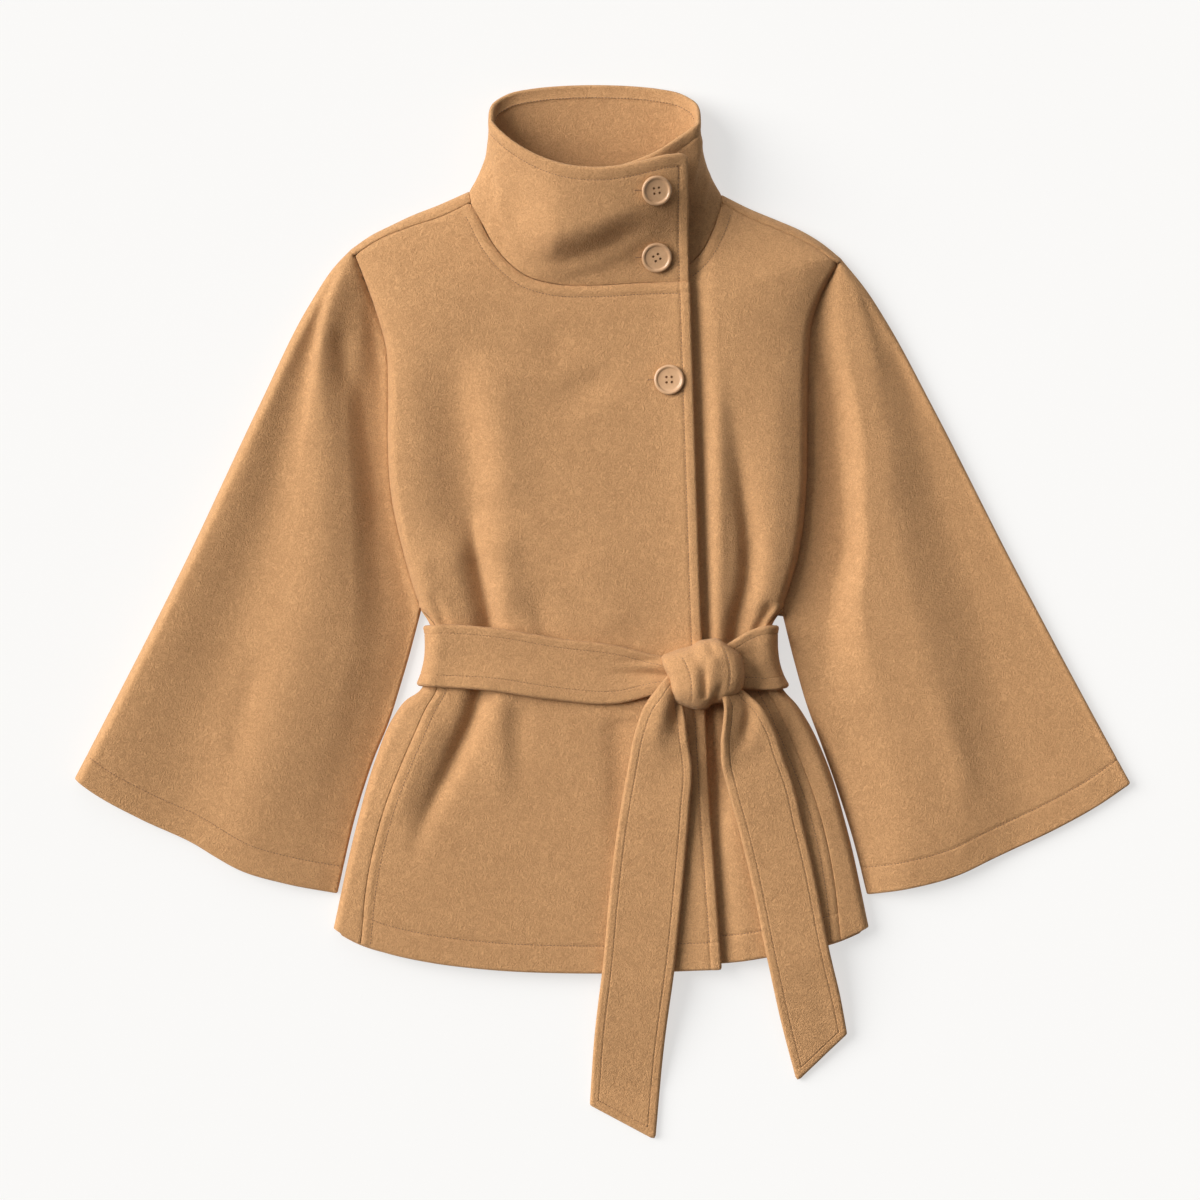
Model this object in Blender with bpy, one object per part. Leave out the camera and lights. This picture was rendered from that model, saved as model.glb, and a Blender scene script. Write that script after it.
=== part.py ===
"""Belted wrap jacket laid flat, front up, with each sewn piece as its own solid.

Frame: the origin is under the middle of the part, +X runs to the right and +Y
towards the collar in the view from above, and +Z points away from the table.
Sizes are in millimetres, and a mesh is written in metres.
"""
import math
from collections import namedtuple

import bmesh
import bpy
import numpy as np
from mathutils import Matrix, Vector
from mathutils.bvhtree import BVHTree

MM = 0.001

# Cloth
CLOTH = 2.5                 # one layer of coat wool
DOUBLE = 5.0                # two layers, as in the collar and the belt
HALF_GAP = 0.15             # each side of a seam
LAY = 0.5                   # air between a piece and the piece that it lies on

# Body
RISE_WIDTH = 75.0           # from the outline in to the full height
UNDERLAP_DROP = 4.9         # the left front lies this far under the right front
EDGE_LIFT = 3.0             # the right front's edge stands a little proud
EDGE_LIFT_WIDTH = 20.0
UNDERLAP_BLEND = 24.0
SHOULDER_ROLL = 5.6         # radius of the fold along the shoulder
ARMHOLE_TUCK = 14.0         # the sleeve runs on under the front's edge
TUCK_AT_ENDS = 1.0
TUCK_START, TUCK_END = 0.15, 0.12            # shares of the armhole over which the tuck comes and goes
SEAT_GAP = 1.0              # between the sleeve's top and the front's edge over it
SEAT_SINK_WIDTH = 3.0       # inside the edge, the sleeve sinks by the front's thickness
SEWN_FLAT_Y = 270.0         # above this the sleeve is sewn in flat, up to the shoulder
SEWN_FLAT_WIDTH = 35.0

# Sleeve
SLEEVE_RISE = 48.0          # from the fold in to the full height
SLEEVE_BODY_RISE = 42.0     # from the body's edge out to the full height
SLEEVE_SEAT_BLEND = 30.0
RIDGE_HEIGHT = 3.0
RIDGE_WIDTH = 9.0

# Belt
BELT_BACK_Y = -39.0
BELT_BACK_HALF = 28.0
BELT_CLEAR = 33.0           # half-width of the back's step over the belt
BELT_STEP = 26.0
DRAPE_REACH = 15.5          # what lies on the jacket bridges dips narrower than twice this

PUSH_ASIDE = (-4.0, 0.0, 4.0)                # rays beside each point that the belt is cleared along
ABOVE_ALL = 100.0           # higher than the whole jacket

# Collar
RIM_CENTRE_X = -7.1
RIM_HALF_WIDTH = 94.8
RIM_MIDDLE_Y = 439.6
RIM_FRONT_DIP = 44.4
RIM_BACK_RISE = 34.7
RIM_HALF_HEIGHT = 36.0
FLAP_STEP = 14.0            # the flap's corner stands off the ring under it
FLAP_RAISE = 4.0
FLAP_STEP_POWER = 4         # how late towards its corner it does so
FLAP_STEP_START_X = 15.0
FLAP_STEP_END_X = 76.5
COLLAR_WALL = 4.0           # two layers, pressed and stitched
WRAP_DROP = 7.0             # the underlap lies this far below the flap
WRAP_BACK = 3.5             # and this far behind it
LAP_SINK = 1.6              # and this far under its own front's neck seam
LAP_SINK_START_X = 85.0
LAP_SINK_WIDTH = 30.0
DENT_SPAN = (-95.0, 115.0)  # the dent across the front runs between these
DENT_FADE = (50.0, 35.0)
DENT_DEPTH = 0.55
DENT_LEVELS = (0.2, 0.5)    # its share of the height at x of DENT_LEVEL_SPAN
DENT_LEVEL_SPAN = (-50.0, 70.0)
CLIMB_POWER = 1.1           # how the collar's profile climbs where there is no dent
NARROW_POWER = 2.6          # how quickly it draws in above the neck seam
RIM_FRONT_POWERS = (1.6, 1.3)                # shape of the front rim, right and left of the middle
RIM_BACK_POWER = 0.5
RIM_HEIGHT_POWERS = (0.9, 0.6)               # front and back
RIM_SPREAD = 0.85
SIDE_BAND_ANGLES = (55, 15, -25, -65)        # columns round the fold at each side of the neck
NECK_CORNER_STEP = 0.2      # the collar's back starts this share of a step in from each shoulder
FLAP_ANGLE = 28.0           # places round the rim, in degrees
LEFT_ANGLE = 175.0
LEFT_BACK_ANGLE = 190.0
RIGHT_BACK_ANGLE = 350.0
RIGHT_ANGLE = 365.0

# Buttons
BUTTON_RADIUS = 13.5
BUTTON_HOLE = 1.15
BUTTON_HOLE_SPACING = 4.7
BUTTON_THICKNESS = 3.4
BUTTON_BACK_INSET = 1.4

WRAP_SHORT = 0.75           # the last step of a fold stops just short of the seam
ARMPIT_ANGLE = math.radians(12)
SHOULDER_TOP_ANGLE = math.radians(68)
HIDDEN_GAP = 0.8            # between back and sleeve, under the front's edge

CREASE_ANGLE = math.radians(45)              # sharper edges stay sharp

# Steps of the grids
WRAP_COLUMNS = 5
SHOULDER_WRAP_ROWS = 5
ARMHOLE_ROWS = 13
SHOULDER_COLUMNS = 6
NECK_COLUMNS = 11
BACK_NECK_COLUMNS = 9
SLEEVE_ROWS = 14
SLEEVE_COLUMNS = 8
SLEEVE_BAND_COLUMNS = 3
SLEEVE_UNDER_COLUMNS = 6
COLLAR_ROWS = 7
BELT_ROWS = 4
BELT_FRONT_STEPS = 22
BELT_SIDE_STEPS = 6
BELT_BACK_STEPS = 6
TAIL_COLUMNS = 3
TAIL_PER_SECTION = 5

FOLD_FADE = 0.25            # share of a fold's length over which each end fades

WOOL = (0.434, 0.231, 0.102, 1.0)
WOOL_ROUGHNESS = 0.95
HORN = (0.47, 0.24, 0.13, 1.0)
HORN_ROUGHNESS = 0.35


def table(columns, *rows):
    """Rows of numbers under named columns."""
    row_type = namedtuple("Row", columns)
    return [row_type(*row) for row in rows]


# From the back of the button, round its rim and into its dish.
BUTTON_SECTION = table(
    "inset height",
    (BUTTON_BACK_INSET, 0.0), (0, 1.0), (0, 2.4), (0.7, 3.3), (1.7, BUTTON_THICKNESS), (3.0, 2.5), (6.0, 2.1))

# Lines in plan.  "right" and "left" are the wearer's, so the right side is at -X.
SHOULDER_SEAM = {
    "right": table("x y", (-222, 320.5), (-212.5, 328), (-199, 336), (-171, 347), (-144, 356), (-119, 368)),
    "left": table("x y", (210.5, 313), (196, 325), (179, 334.5), (156, 344.5), (135, 353), (107.5, 367.5)),
}
SHOULDER_FOLD = {
    "right": table("x y", (-226, 326.5), (-208, 339), (-190, 348), (-171, 357), (-148, 366), (-121, 378)),
    "left": table("x y", (214, 318.5), (196.5, 332.5), (179, 343), (156, 353), (133, 362.5), (108, 375)),
}
ARMHOLE_EDGE = {
    "right": table("x y", (-222, 320.5), (-214, 300), (-202, 266), (-194.5, 238), (-192.7, 200),
                   (-193, 150), (-190.5, 110), (-180, 58), (-169, 20), (-163, 2)),
    "left": table("x y", (210.5, 313), (200, 293), (188.5, 262), (185, 226), (184.3, 173),
                  (183, 110), (175, 47), (166.5, 19), (161, 2)),
}
BODY_SIDE = {
    "right": table("x y", (-163, 2), (-155, -11), (-153, -28), (-156, -52), (-164, -70), (-177, -79),
                   (-188, -94), (-204, -132), (-222, -195), (-242, -285)),
    "left": table("x y", (161, 2), (152.5, -11), (151, -28), (155, -54), (163, -70), (174, -82),
                  (184.5, -98), (200.5, -132), (220, -195), (239.5, -283.5)),
}
SIDE_SEAM = {
    "right": table("x y", (-163, 2), (-150.5, -12), (-145, -32), (-146, -58), (-150, -72), (-158, -85),
                   (-167.5, -106), (-178, -130), (-196, -177), (-211, -240), (-217, -298)),
    "left": table("x y", (161, 2), (148.5, -12), (143, -32), (144, -58), (148.5, -72), (157, -86),
                  (166, -106), (176.5, -130), (194, -177), (208, -240), (214, -295)),
}
NECK_SEAM = {
    "right": table("x y", (-119, 368), (-113.5, 359), (-102, 336), (-85.5, 314.5), (-68, 301),
                   (-44.5, 294), (-9.5, 292.5), (39, 295), (78.3, 295.6)),
    "left": table("x y", (107.5, 367.5), (99, 342), (87.5, 321.5), (78, 312), (51.5, 299),
                  (-2, 292), (-50, 293.5)),
}
NECK_BACK = table("x y", (-119.5, 372.3), (-108, 368), (-62, 364.5), (-6, 363), (50, 364),
                  (96, 367.5), (107, 370))
HEM = {
    "right": table("x y", (-217, -298), (-199, -304.5), (-155, -314.5), (-112, -320), (-4, -324.3),
                   (107, -320.8)),
    "left": table("x y", (214, -295), (190, -301.5), (147, -310), (125, -313.5), (0, -318), (-96, -318)),
}
HEM_BACK = table("x y", (-242, -285), (-220, -297), (-177, -309), (-112, -316), (-4, -319), (100, -315),
                 (147, -308), (212, -295.5), (239.5, -283.5))
FRONT_EDGE = table("x y", (107, -320.8), (95.3, -150), (89, -23), (83, 154), (78.3, 295.6))
UNDERLAP_EDGE = table("x y", (-96, -318), (-82, 0), (-50, 293.5))

SLEEVE_OUTER = {
    "right": table("x y", (-226, 326.5), (-240, 312), (-263, 277.5), (-308, 187.5), (-376, 43.5),
                   (-449, -100), (-475, -150)),
    "left": table("x y", (214, 318.5), (237, 290), (256.5, 259.5), (295.5, 187.5), (369, 43.5), (445.5, -100),
                  (475, -154)),
}
SLEEVE_RIDGE = {
    "right": table("x y", (-222, 320.5), (-236, 300), (-245, 282), (-252.5, 250), (-261.5, 199.5),
                   (-270.5, 137), (-293, 35.5), (-316, -78.5), (-336, -168), (-348, -220)),
    "left": table("x y", (210.5, 313), (222, 298), (231, 280), (243.5, 240), (258, 167), (269.5, 125),
                  (289.5, 20), (312, -78.5), (343, -186), (353, -221)),
}
SLEEVE_INNER = {
    "right": table("x y", (-163, 2), (-175, -43), (-183, -70), (-190.5, -94), (-207, -135), (-220.5, -177),
                   (-238.5, -253)),
    "left": table("x y", (161, 2), (173, -46), (184, -84), (195.5, -115), (211.5, -160), (225.5, -204.5),
                  (238, -254)),
}
SLEEVE_HEM = {
    "right": table("x y", (-475, -150), (-457, -163), (-414, -186.5), (-366, -209), (-348, -220),
                   (-328, -231), (-285, -244), (-238.5, -253)),
    "left": table("x y", (475, -154), (449, -172), (406, -196), (370, -213), (353, -221),
                  (319, -237), (276, -248.5), (238, -254)),
}

# Height of the body's top by distance up the jacket.  low is the height of the
# outline's own edge, and roll is the radius of the fold there.
BODY_FORM = table(
    "y edge crown low roll",
    (-325, 11.0, 13.5, 5.5, 5.5),
    (-200, 14.0, 21.0, 7.0, 7.0),
    (-95, 18.0, 25.0, 9.0, 9.0),
    (-40, 20.0, 25.0, 11.5, 8.0),
    (2, 19.0, 28.0, 9.6, 9.0),
    (110, 17.0, 30.0, 7.6, 9.0),
    (220, 16.0, 31.0, 8.4, 8.0),
    (295, 14.0, 30.0, 10.0, 5.0),
    (322, 12.0, 26.0, 11.8, 3.0),
    (380, 11.5, 22.0, 11.8, 3.0))
SLEEVE_FORM = table(
    "y edge crown",
    (-256, 8.5, 13.0), (-150, 9.0, 17.0), (0, 9.5, 21.0), (150, 10.0, 22.0), (260, 11.0, 20.0),
    (327, 11.8, 14.0))

# The largest folds: a soft line from start through middle to end, its half-width
# and how far it stands above (or, if negative, sinks below) the cloth round it.
FOLD_COLUMNS = "x0 y0 x1 y1 x2 y2 width height"
BODY_FOLDS = table(
    FOLD_COLUMNS,
    (-144, 92, -124, 42, -108, -12, 12, -5.0),
    (-108, 44, -100, 10, -100, -14, 8, -4.0),
    (-165, 60, -160, 30, -146, 6, 10, 3.0),
    (-110, -73, -137, -123, -167, -211, 12, -6.0),
    (-144, -89, -170, -140, -192, -190, 11, 3.5),
    (-83, -83, -75, -120, -69, -156, 11, 3.0),
    (-163, 266, -150, 220, -137, 172, 24, -4.0),
    (-56, 186, -10, 205, 31, 226, 13, -3.0),
    (107, 280, 107, 120, 106, -20, 10, 3.0),
    (126, 250, 128, 100, 119, -21, 11, -5.0),
    (154, 235, 151, 60, 134, -10, 16, 3.5),
    (141, -73, 168, -123, 193, -205, 12, -4.5),
    (114, -92, 114, -150, 116, -225, 11, -4.0))
SLEEVE_FOLDS = {
    "right": table(
        FOLD_COLUMNS,
        (-269, 240, -300, 50, -338, -170, 10, -3.0),
        (-234, 252, -222, 185, -212, 70, 13, -6.0),
        (-228, 240, -212, 205, -199, 170, 9, 3.0),
        (-186, 76, -200, 55, -220, 20, 12, 3.0),
        (-262, 20, -284, -90, -300, -190, 22, -3.0)),
    "left": table(
        FOLD_COLUMNS,
        (256, 208, 284, 101, 323, -78, 9, -3.0),
        (196, 215, 202, 119, 198, 24, 15, -6.0),
        (232, 120, 250, 0, 275, -120, 20, 3.0),
        (252, 40, 282, -80, 305, -185, 20, -3.0)),
}

# Each row is a cross-section of a belt tail: its left and its right edge.
TAIL_SECTIONS = {
    "right": table(
        "left_x left_y right_x right_y",
        (66, -48, 82, -62), (52, -64, 72, -77), (38, -82, 74, -97), (28, -110, 77, -118),
        (22, -142, 80, -140), (16.4, -173, 78, -175), (6, -255, 71.5, -250), (1, -310, 65.7, -310),
        (-7.6, -385.6, 55.8, -385.6), (-11.2, -443, 47.3, -474.2)),
    "left": table(
        "left_x left_y right_x right_y",
        (98, -62, 112, -52), (108, -78, 126, -70), (108, -94, 141, -83), (105.6, -115, 155, -108),
        (106, -130, 162, -130), (110.7, -153, 170, -151), (121, -190, 179, -188), (132, -235, 189, -230),
        (147.7, -310.5, 205, -310), (160.4, -367.7, 213, -343), (175, -422, 219.5, -379)),
}
# The belt's upper and lower edge across the front.
BELT_FRONT = table(
    "x top bottom",
    (-164, -11.5, -66), (-145, -10.5, -67), (-101, -13, -70), (-38, -23, -79), (15, -29.5, -81.5),
    (48, -38, -74), (75, -42, -70), (112, -28, -68), (132, -16, -68), (150, -11, -69), (163, -11.5, -69))
BELT_SPAN = (-157.0, 157.0)

KNOT_CENTRE = (90.0, -54.5)
KNOT_HALF = (31.0, 29.5)
KNOT_RISE = 23.0            # above what it sits on, in its middle
KNOT_EDGE = 9.0             # its thickness at the rim
KNOT_ROUNDING = 3           # how late its top falls off towards the rim
KNOT_STEPS = 12
KNOT_REACH = 8.0            # its underside bridges what is closer together than twice this
STRAP_CENTRE = -3.0         # the strap that wraps the knot, from its middle
STRAP_HALF = 22.0
STRAP_HEIGHT = 4.0
STRAP_SLOPE = 0.3

BUTTONS = table(
    "x y turn",
    (47.8, 375.2, -8.0), (48.5, 317.5, -33.0), (59.7, 208.2, -5.0))
BUTTON_NAMES = ("button_top", "button_middle", "button_lower")
BUTTON_SEAT = 0.3           # air under a button where it touches


def smooth_line(knots, per_span=10):
    """Points on a smooth line through the knots."""
    knots = np.asarray(knots, dtype=float)
    steps = np.diff(knots, axis=0)
    spans = np.linalg.norm(steps, axis=1)[:, None]
    slopes = steps / spans
    tangents = np.empty_like(knots)
    tangents[0], tangents[-1] = slopes[0], slopes[-1]
    tangents[1:-1] = (spans[1:] * slopes[:-1] + spans[:-1] * slopes[1:]) / (spans[:-1] + spans[1:])
    part = np.linspace(0, 1, per_span + 1)[:-1, None]
    pieces = []
    for index, span in enumerate(spans):
        square, cube = part ** 2, part ** 3
        pieces.append((2 * cube - 3 * square + 1) * knots[index]
                      + (cube - 2 * square + part) * span * tangents[index]
                      + (3 * square - 2 * cube) * knots[index + 1]
                      + (cube - square) * span * tangents[index + 1])
    pieces.append(knots[-1:])
    return np.concatenate(pieces)


class Curve:
    """A line in plan or in space that is read by its share of arc length."""

    def __init__(self, points):
        self.points = np.asarray(points, dtype=float)
        steps = np.linalg.norm(np.diff(self.points, axis=0), axis=1)
        self.length = steps.sum()
        self.share = np.concatenate([[0.0], np.cumsum(steps)]) / self.length

    @classmethod
    def through(cls, rows):
        """The smooth line through the x and y of a table."""
        return cls(smooth_line([(row.x, row.y) for row in rows]))

    def at(self, share):
        """Points at these shares of the length."""
        return np.stack([np.interp(share, self.share, axis) for axis in self.points.T], -1)

    def shifted(self, distance):
        """The line moved sideways, to the left of its direction where distance is positive."""
        along = np.gradient(self.points[:, :2], axis=0)
        along /= np.linalg.norm(along, axis=1)[:, None]
        sideways = np.stack([-along[:, 1], along[:, 0]], -1)
        return Curve(self.points + sideways * np.asarray(distance).reshape(-1, 1))

    def x_at(self, y):
        """The line's x where it passes this y."""
        order = np.argsort(self.points[:, 1])
        return np.interp(y, self.points[order, 1], self.points[order, 0])


def distance_to(curves, plan):
    """Distance in plan from each point to the nearest of the curves."""
    flat = plan.reshape(-1, 2)
    best = np.full(len(flat), np.inf)
    for curve in curves:
        starts, ends = curve.points[:-1, :2], curve.points[1:, :2]
        run = ends - starts
        size = (run ** 2).sum(1)
        offset = flat[:, None] - starts[None]
        share = np.clip((offset * run[None]).sum(2) / size, 0, 1)
        gap = np.linalg.norm(offset - share[..., None] * run[None], axis=2).min(1)
        best = np.minimum(best, gap)
    return best.reshape(plan.shape[:-1])


def column(rows, name, key, at):
    """A named column of a table, read smoothly along its key column."""
    line = smooth_line([(getattr(row, key), getattr(row, name)) for row in rows])
    return np.interp(at, line[:, 0], line[:, 1])


def ease(value):
    """Smooth step from 0 to 1."""
    value = np.clip(value, 0, 1)
    return value * value * (3 - 2 * value)


def swell(value):
    """Quick rise from 0 that flattens out at 1."""
    return 1 - (1 - np.clip(value, 0, 1)) ** 2


def quarter(value):
    """Height of a quarter circle at this share of its radius."""
    return np.sqrt(1 - (1 - np.clip(value, 0, 1)) ** 2)


def fold_height(rows, plan):
    """Sum of the folds at each point, each fading out at its two ends."""
    total = np.zeros(plan.shape[:-1])
    flat = plan.reshape(-1, 2)
    for row in rows:
        line = Curve(smooth_line([(row.x0, row.y0), (row.x1, row.y1), (row.x2, row.y2)], 8))
        gap = np.linalg.norm(flat[:, None] - line.points[None], axis=2)
        nearest = gap.argmin(1)
        distance = distance_to([line], flat)
        along = line.share[nearest]
        fade = ease(along / FOLD_FADE) * ease((1 - along) / FOLD_FADE)
        total += (row.height * fade * np.exp(-(distance / row.width) ** 2)).reshape(total.shape)
    return total


class Jacket:
    """The lines of the jacket and the heights of its layers."""

    def __init__(self):
        self.shoulder_seam = {side: Curve.through(SHOULDER_SEAM[side]) for side in SHOULDER_SEAM}
        self.shoulder_fold = {side: Curve.through(SHOULDER_FOLD[side]) for side in SHOULDER_FOLD}
        self.armhole = {side: Curve.through(ARMHOLE_EDGE[side]) for side in ARMHOLE_EDGE}
        self.body_side = {side: Curve.through(BODY_SIDE[side]) for side in BODY_SIDE}
        self.side_seam = {side: Curve.through(SIDE_SEAM[side]) for side in SIDE_SEAM}
        self.neck = {side: Curve.through(NECK_SEAM[side]) for side in NECK_SEAM}
        self.neck_back = Curve.through(NECK_BACK)
        self.hem = {side: Curve.through(HEM[side]) for side in HEM}
        self.hem_back = Curve.through(HEM_BACK)
        self.front_edge = Curve.through(FRONT_EDGE)
        self.underlap_edge = Curve.through(UNDERLAP_EDGE)
        self.outer = {side: Curve.through(SLEEVE_OUTER[side]) for side in SLEEVE_OUTER}
        self.ridge = {side: Curve.through(SLEEVE_RIDGE[side]) for side in SLEEVE_RIDGE}
        self.inner = {side: Curve.through(SLEEVE_INNER[side]) for side in SLEEVE_INNER}
        self.sleeve_hem = {side: Curve.through(SLEEVE_HEM[side]) for side in SLEEVE_HEM}

    def flank(self, side):
        """The body's outline on one side, from the shoulder to the hem."""
        return [self.armhole[side], self.body_side[side]]

    def body_height(self, plan):
        """Top of the body's cloth, with its folds, before the outline rolls down."""
        outline = [line for side in ("right", "left") for line in self.flank(side)]
        outline += list(self.shoulder_fold.values())
        height = plan[..., 1]
        edge = column(BODY_FORM, "edge", "y", height)
        crown = column(BODY_FORM, "crown", "y", height)
        rise = swell(distance_to(outline, plan) / RISE_WIDTH)
        return edge + (crown - edge) * rise + fold_height(BODY_FOLDS, plan)

    def rolled(self, plan, top, side):
        """The top brought down round the fold at the body's outline."""
        low = column(BODY_FORM, "low", "y", plan[..., 1])
        roll = column(BODY_FORM, "roll", "y", plan[..., 1])
        gap = distance_to(self.flank(side), plan)
        return low + (top - low) * quarter(gap / roll)

    def right_front_top(self, plan):
        """Outer face of the right front, which lies over the left."""
        inward = self.front_edge.x_at(plan[..., 1]) - plan[..., 0]
        lift = EDGE_LIFT * np.exp(-(inward / EDGE_LIFT_WIDTH) ** 2)
        return self.rolled(plan, self.body_height(plan) + lift, "right")

    def left_front_top(self, plan):
        """Outer face of the left front, which dips under the right."""
        beyond = plan[..., 0] - self.front_edge.x_at(plan[..., 1])
        drop = UNDERLAP_DROP * ease(1 - beyond / UNDERLAP_BLEND)
        return self.rolled(plan, self.body_height(plan) - drop, "left")

    def floor_height(self, plan):
        """Underside of the back, which steps up over the belt behind it."""
        step = np.abs(plan[..., 1] - BELT_BACK_Y) - BELT_CLEAR
        return (DOUBLE + LAY) * ease(1 - step / BELT_STEP)

    def seat_height(self, plan, inside):
        """Where the sleeve's top lies under the body's edge, lower where it runs on inside."""
        seat = column(BODY_FORM, "low", "y", plan[..., 1]) - SEAT_GAP
        sewn_flat = ease((plan[..., 1] - SEWN_FLAT_Y) / SEWN_FLAT_WIDTH)
        sink = np.maximum(np.minimum(inside / SEAT_SINK_WIDTH, 1), sewn_flat)
        return np.maximum(seat - CLOTH * sink, 2 * CLOTH + LAY)

    def sleeve_top(self, plan, side):
        """Outer face of the sleeve's upper layer."""
        form_y = plan[..., 1]
        edge = column(SLEEVE_FORM, "edge", "y", form_y)
        crown = column(SLEEVE_FORM, "crown", "y", form_y)
        outside = self.is_outside(plan, side)
        from_edge = distance_to([self.armhole[side]], plan)
        from_body = np.where(outside, from_edge, 0.0)
        from_fold = distance_to([self.outer[side], self.inner[side]], plan)
        seat = self.seat_height(plan, from_edge - from_body)
        low = seat + (edge - seat) * ease(from_body / SLEEVE_SEAT_BLEND)
        rise = swell(from_fold / SLEEVE_RISE) * swell(from_body / SLEEVE_BODY_RISE)
        ridge = np.exp(-(distance_to([self.ridge[side]], plan) / RIDGE_WIDTH) ** 2)
        shape = (RIDGE_HEIGHT * ridge + fold_height(SLEEVE_FOLDS[side], plan)) * rise
        return low + (crown - low) * rise + shape

    def is_outside(self, plan, side):
        """True beyond the body's edge, on the sleeve's side of it."""
        edge_x = self.armhole[side].x_at(plan[..., 1])
        beyond = edge_x - plan[..., 0] if side == "right" else plan[..., 0] - edge_x
        return (beyond > 0) | (plan[..., 1] < self.armhole[side].points[-1, 1])

    def armhole_line(self, side):
        """The seam line under the front's edge, tucked in between its two ends."""
        line = self.armhole[side]
        window = ease(line.share / TUCK_START) * ease((1 - line.share) / TUCK_END)
        inward = 1 if side == "right" else -1
        return line.shifted(inward * (TUCK_AT_ENDS + (ARMHOLE_TUCK - TUCK_AT_ENDS) * window))

    def front_top(self, side):
        """The height field of one front."""
        return self.right_front_top if side == "right" else self.left_front_top


def patch(low, high, left, right, u, v):
    """Plan points of a four-sided patch; u is a share per row and column, v a share per row."""
    v = v[:, None, None]
    w = u[..., None]
    ruled = (1 - v) * low.at(u) + v * high.at(u) + (1 - w) * left[:, None] + w * right[:, None]
    corners = ((1 - w) * (1 - v) * low.at(0.0) + w * (1 - v) * low.at(1.0)
               + (1 - w) * v * high.at(0.0) + w * v * high.at(1.0))
    return ruled - corners


def joined(*stretches):
    """One line through several stretches of points that meet end to end."""
    points = [np.asarray(stretches[0])]
    points += [np.asarray(stretch)[1:] for stretch in stretches[1:]]
    return np.concatenate(points)


UPRIGHT = np.array([0.0, 0.0, 1.0])          # a seam's edge is cut straight down through the cloth


def grid_normals(points, cells, ring=False):
    """Unit normals of a grid, shared out from the squares that are there."""
    if ring:
        points = np.concatenate([points, points[:, :1]], axis=1)
    diagonal = points[1:, 1:] - points[:-1, :-1]
    other = points[1:, :-1] - points[:-1, 1:]
    square = np.where(cells[..., None], np.cross(diagonal, other), 0.0)
    total = np.zeros_like(points)
    for rows in (np.s_[:-1], np.s_[1:]):
        for columns in (np.s_[:-1], np.s_[1:]):
            total[rows, columns] += square
    if ring:
        total[:, 0] += total[:, -1]
        total = total[:, :-1]
    size = np.linalg.norm(total, axis=2)[..., None]
    return total / np.where(size > 0, size, 1.0)


def level_normals(edge_points, outward_x):
    """Unit normals that lie flat and point out across an edge, to the given side in X."""
    along = np.gradient(edge_points[:, :2], axis=0)
    normal = np.stack([-along[:, 1], along[:, 0], np.zeros(len(along))], -1)
    normal *= np.sign(normal[:, :1]) * outward_x
    return normal / np.linalg.norm(normal, axis=1)[:, None]


def raised(plan, height):
    """Plan points with their heights."""
    return np.concatenate([plan, height[..., None]], -1)


def plain_material(name, colour, roughness):
    """A Principled material for one object."""
    material = bpy.data.materials.new(name)
    material.use_nodes = True
    shader = next(node for node in material.node_tree.nodes if node.type == "BSDF_PRINCIPLED")
    shader.inputs["Base Color"].default_value = colour
    shader.inputs["Roughness"].default_value = roughness
    shader.inputs["Metallic"].default_value = 0.0
    return material


def new_object(name, mesh, colour=WOOL, roughness=WOOL_ROUGHNESS):
    """Put a finished mesh into the scene under its node's name."""
    part = bpy.data.objects.new(name, mesh)
    bpy.context.scene.collection.objects.link(part)
    mesh.materials.append(plain_material(name, colour, roughness))
    mesh.shade_smooth()
    mesh.set_sharp_from_angle(angle=CREASE_ANGLE)
    return part


EDGE_ORDER = np.array([0.3, 1.0, 0.0])       # two pieces split the faces along their seam the same way


def solid_between(name, outer, inner, cells=None, ring=False):
    """Closed wall between two grids of points; a ring's last column joins its first."""
    rows, columns = outer.shape[:2]
    if cells is None:
        cells = np.ones((rows - 1, columns if ring else columns - 1), dtype=bool)
    shape = bmesh.new()
    vertices = {}

    def vertex(layer, row, step):
        key = (layer, row, step % columns)
        if key not in vertices:
            grid = outer if layer == "outer" else inner
            vertices[key] = shape.verts.new(grid[row, step % columns] * MM)
        return vertices[key]

    def present(row, step):
        if ring:
            step %= cells.shape[1]
        inside = 0 <= row < cells.shape[0] and 0 <= step < cells.shape[1]
        return inside and cells[row, step]

    def place(row, step):
        return outer[row, step % columns]

    for row, step in zip(*np.nonzero(cells)):
        corners = [(row, step), (row, step + 1), (row + 1, step + 1), (row + 1, step)]
        spans = [np.linalg.norm(place(*corners[index]) - place(*corners[index + 2])) for index in (0, 1)]
        first = int(spans[1] < spans[0])
        around = corners[first:] + corners[:first]
        for triangle in (around[:3], around[:1] + around[2:]):
            shape.faces.new([vertex("outer", *corner) for corner in triangle])
            shape.faces.new([vertex("inner", *corner) for corner in reversed(triangle)])
        beyond = ((row - 1, step), (row, step + 1), (row + 1, step), (row, step - 1))
        for index, neighbour in enumerate(beyond):
            if not present(*neighbour):
                ends = corners[index], corners[(index + 1) % 4]
                low, high = sorted(ends, key=lambda end: place(*end) @ EDGE_ORDER)
                shape.faces.new([vertex("outer", *high), vertex("outer", *low), vertex("inner", *high)])
                shape.faces.new([vertex("outer", *low), vertex("inner", *low), vertex("inner", *high)])
    bmesh.ops.recalc_face_normals(shape, faces=shape.faces)
    mesh = bpy.data.meshes.new(name)
    shape.to_mesh(mesh)
    shape.free()
    return new_object(name, mesh)


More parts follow.
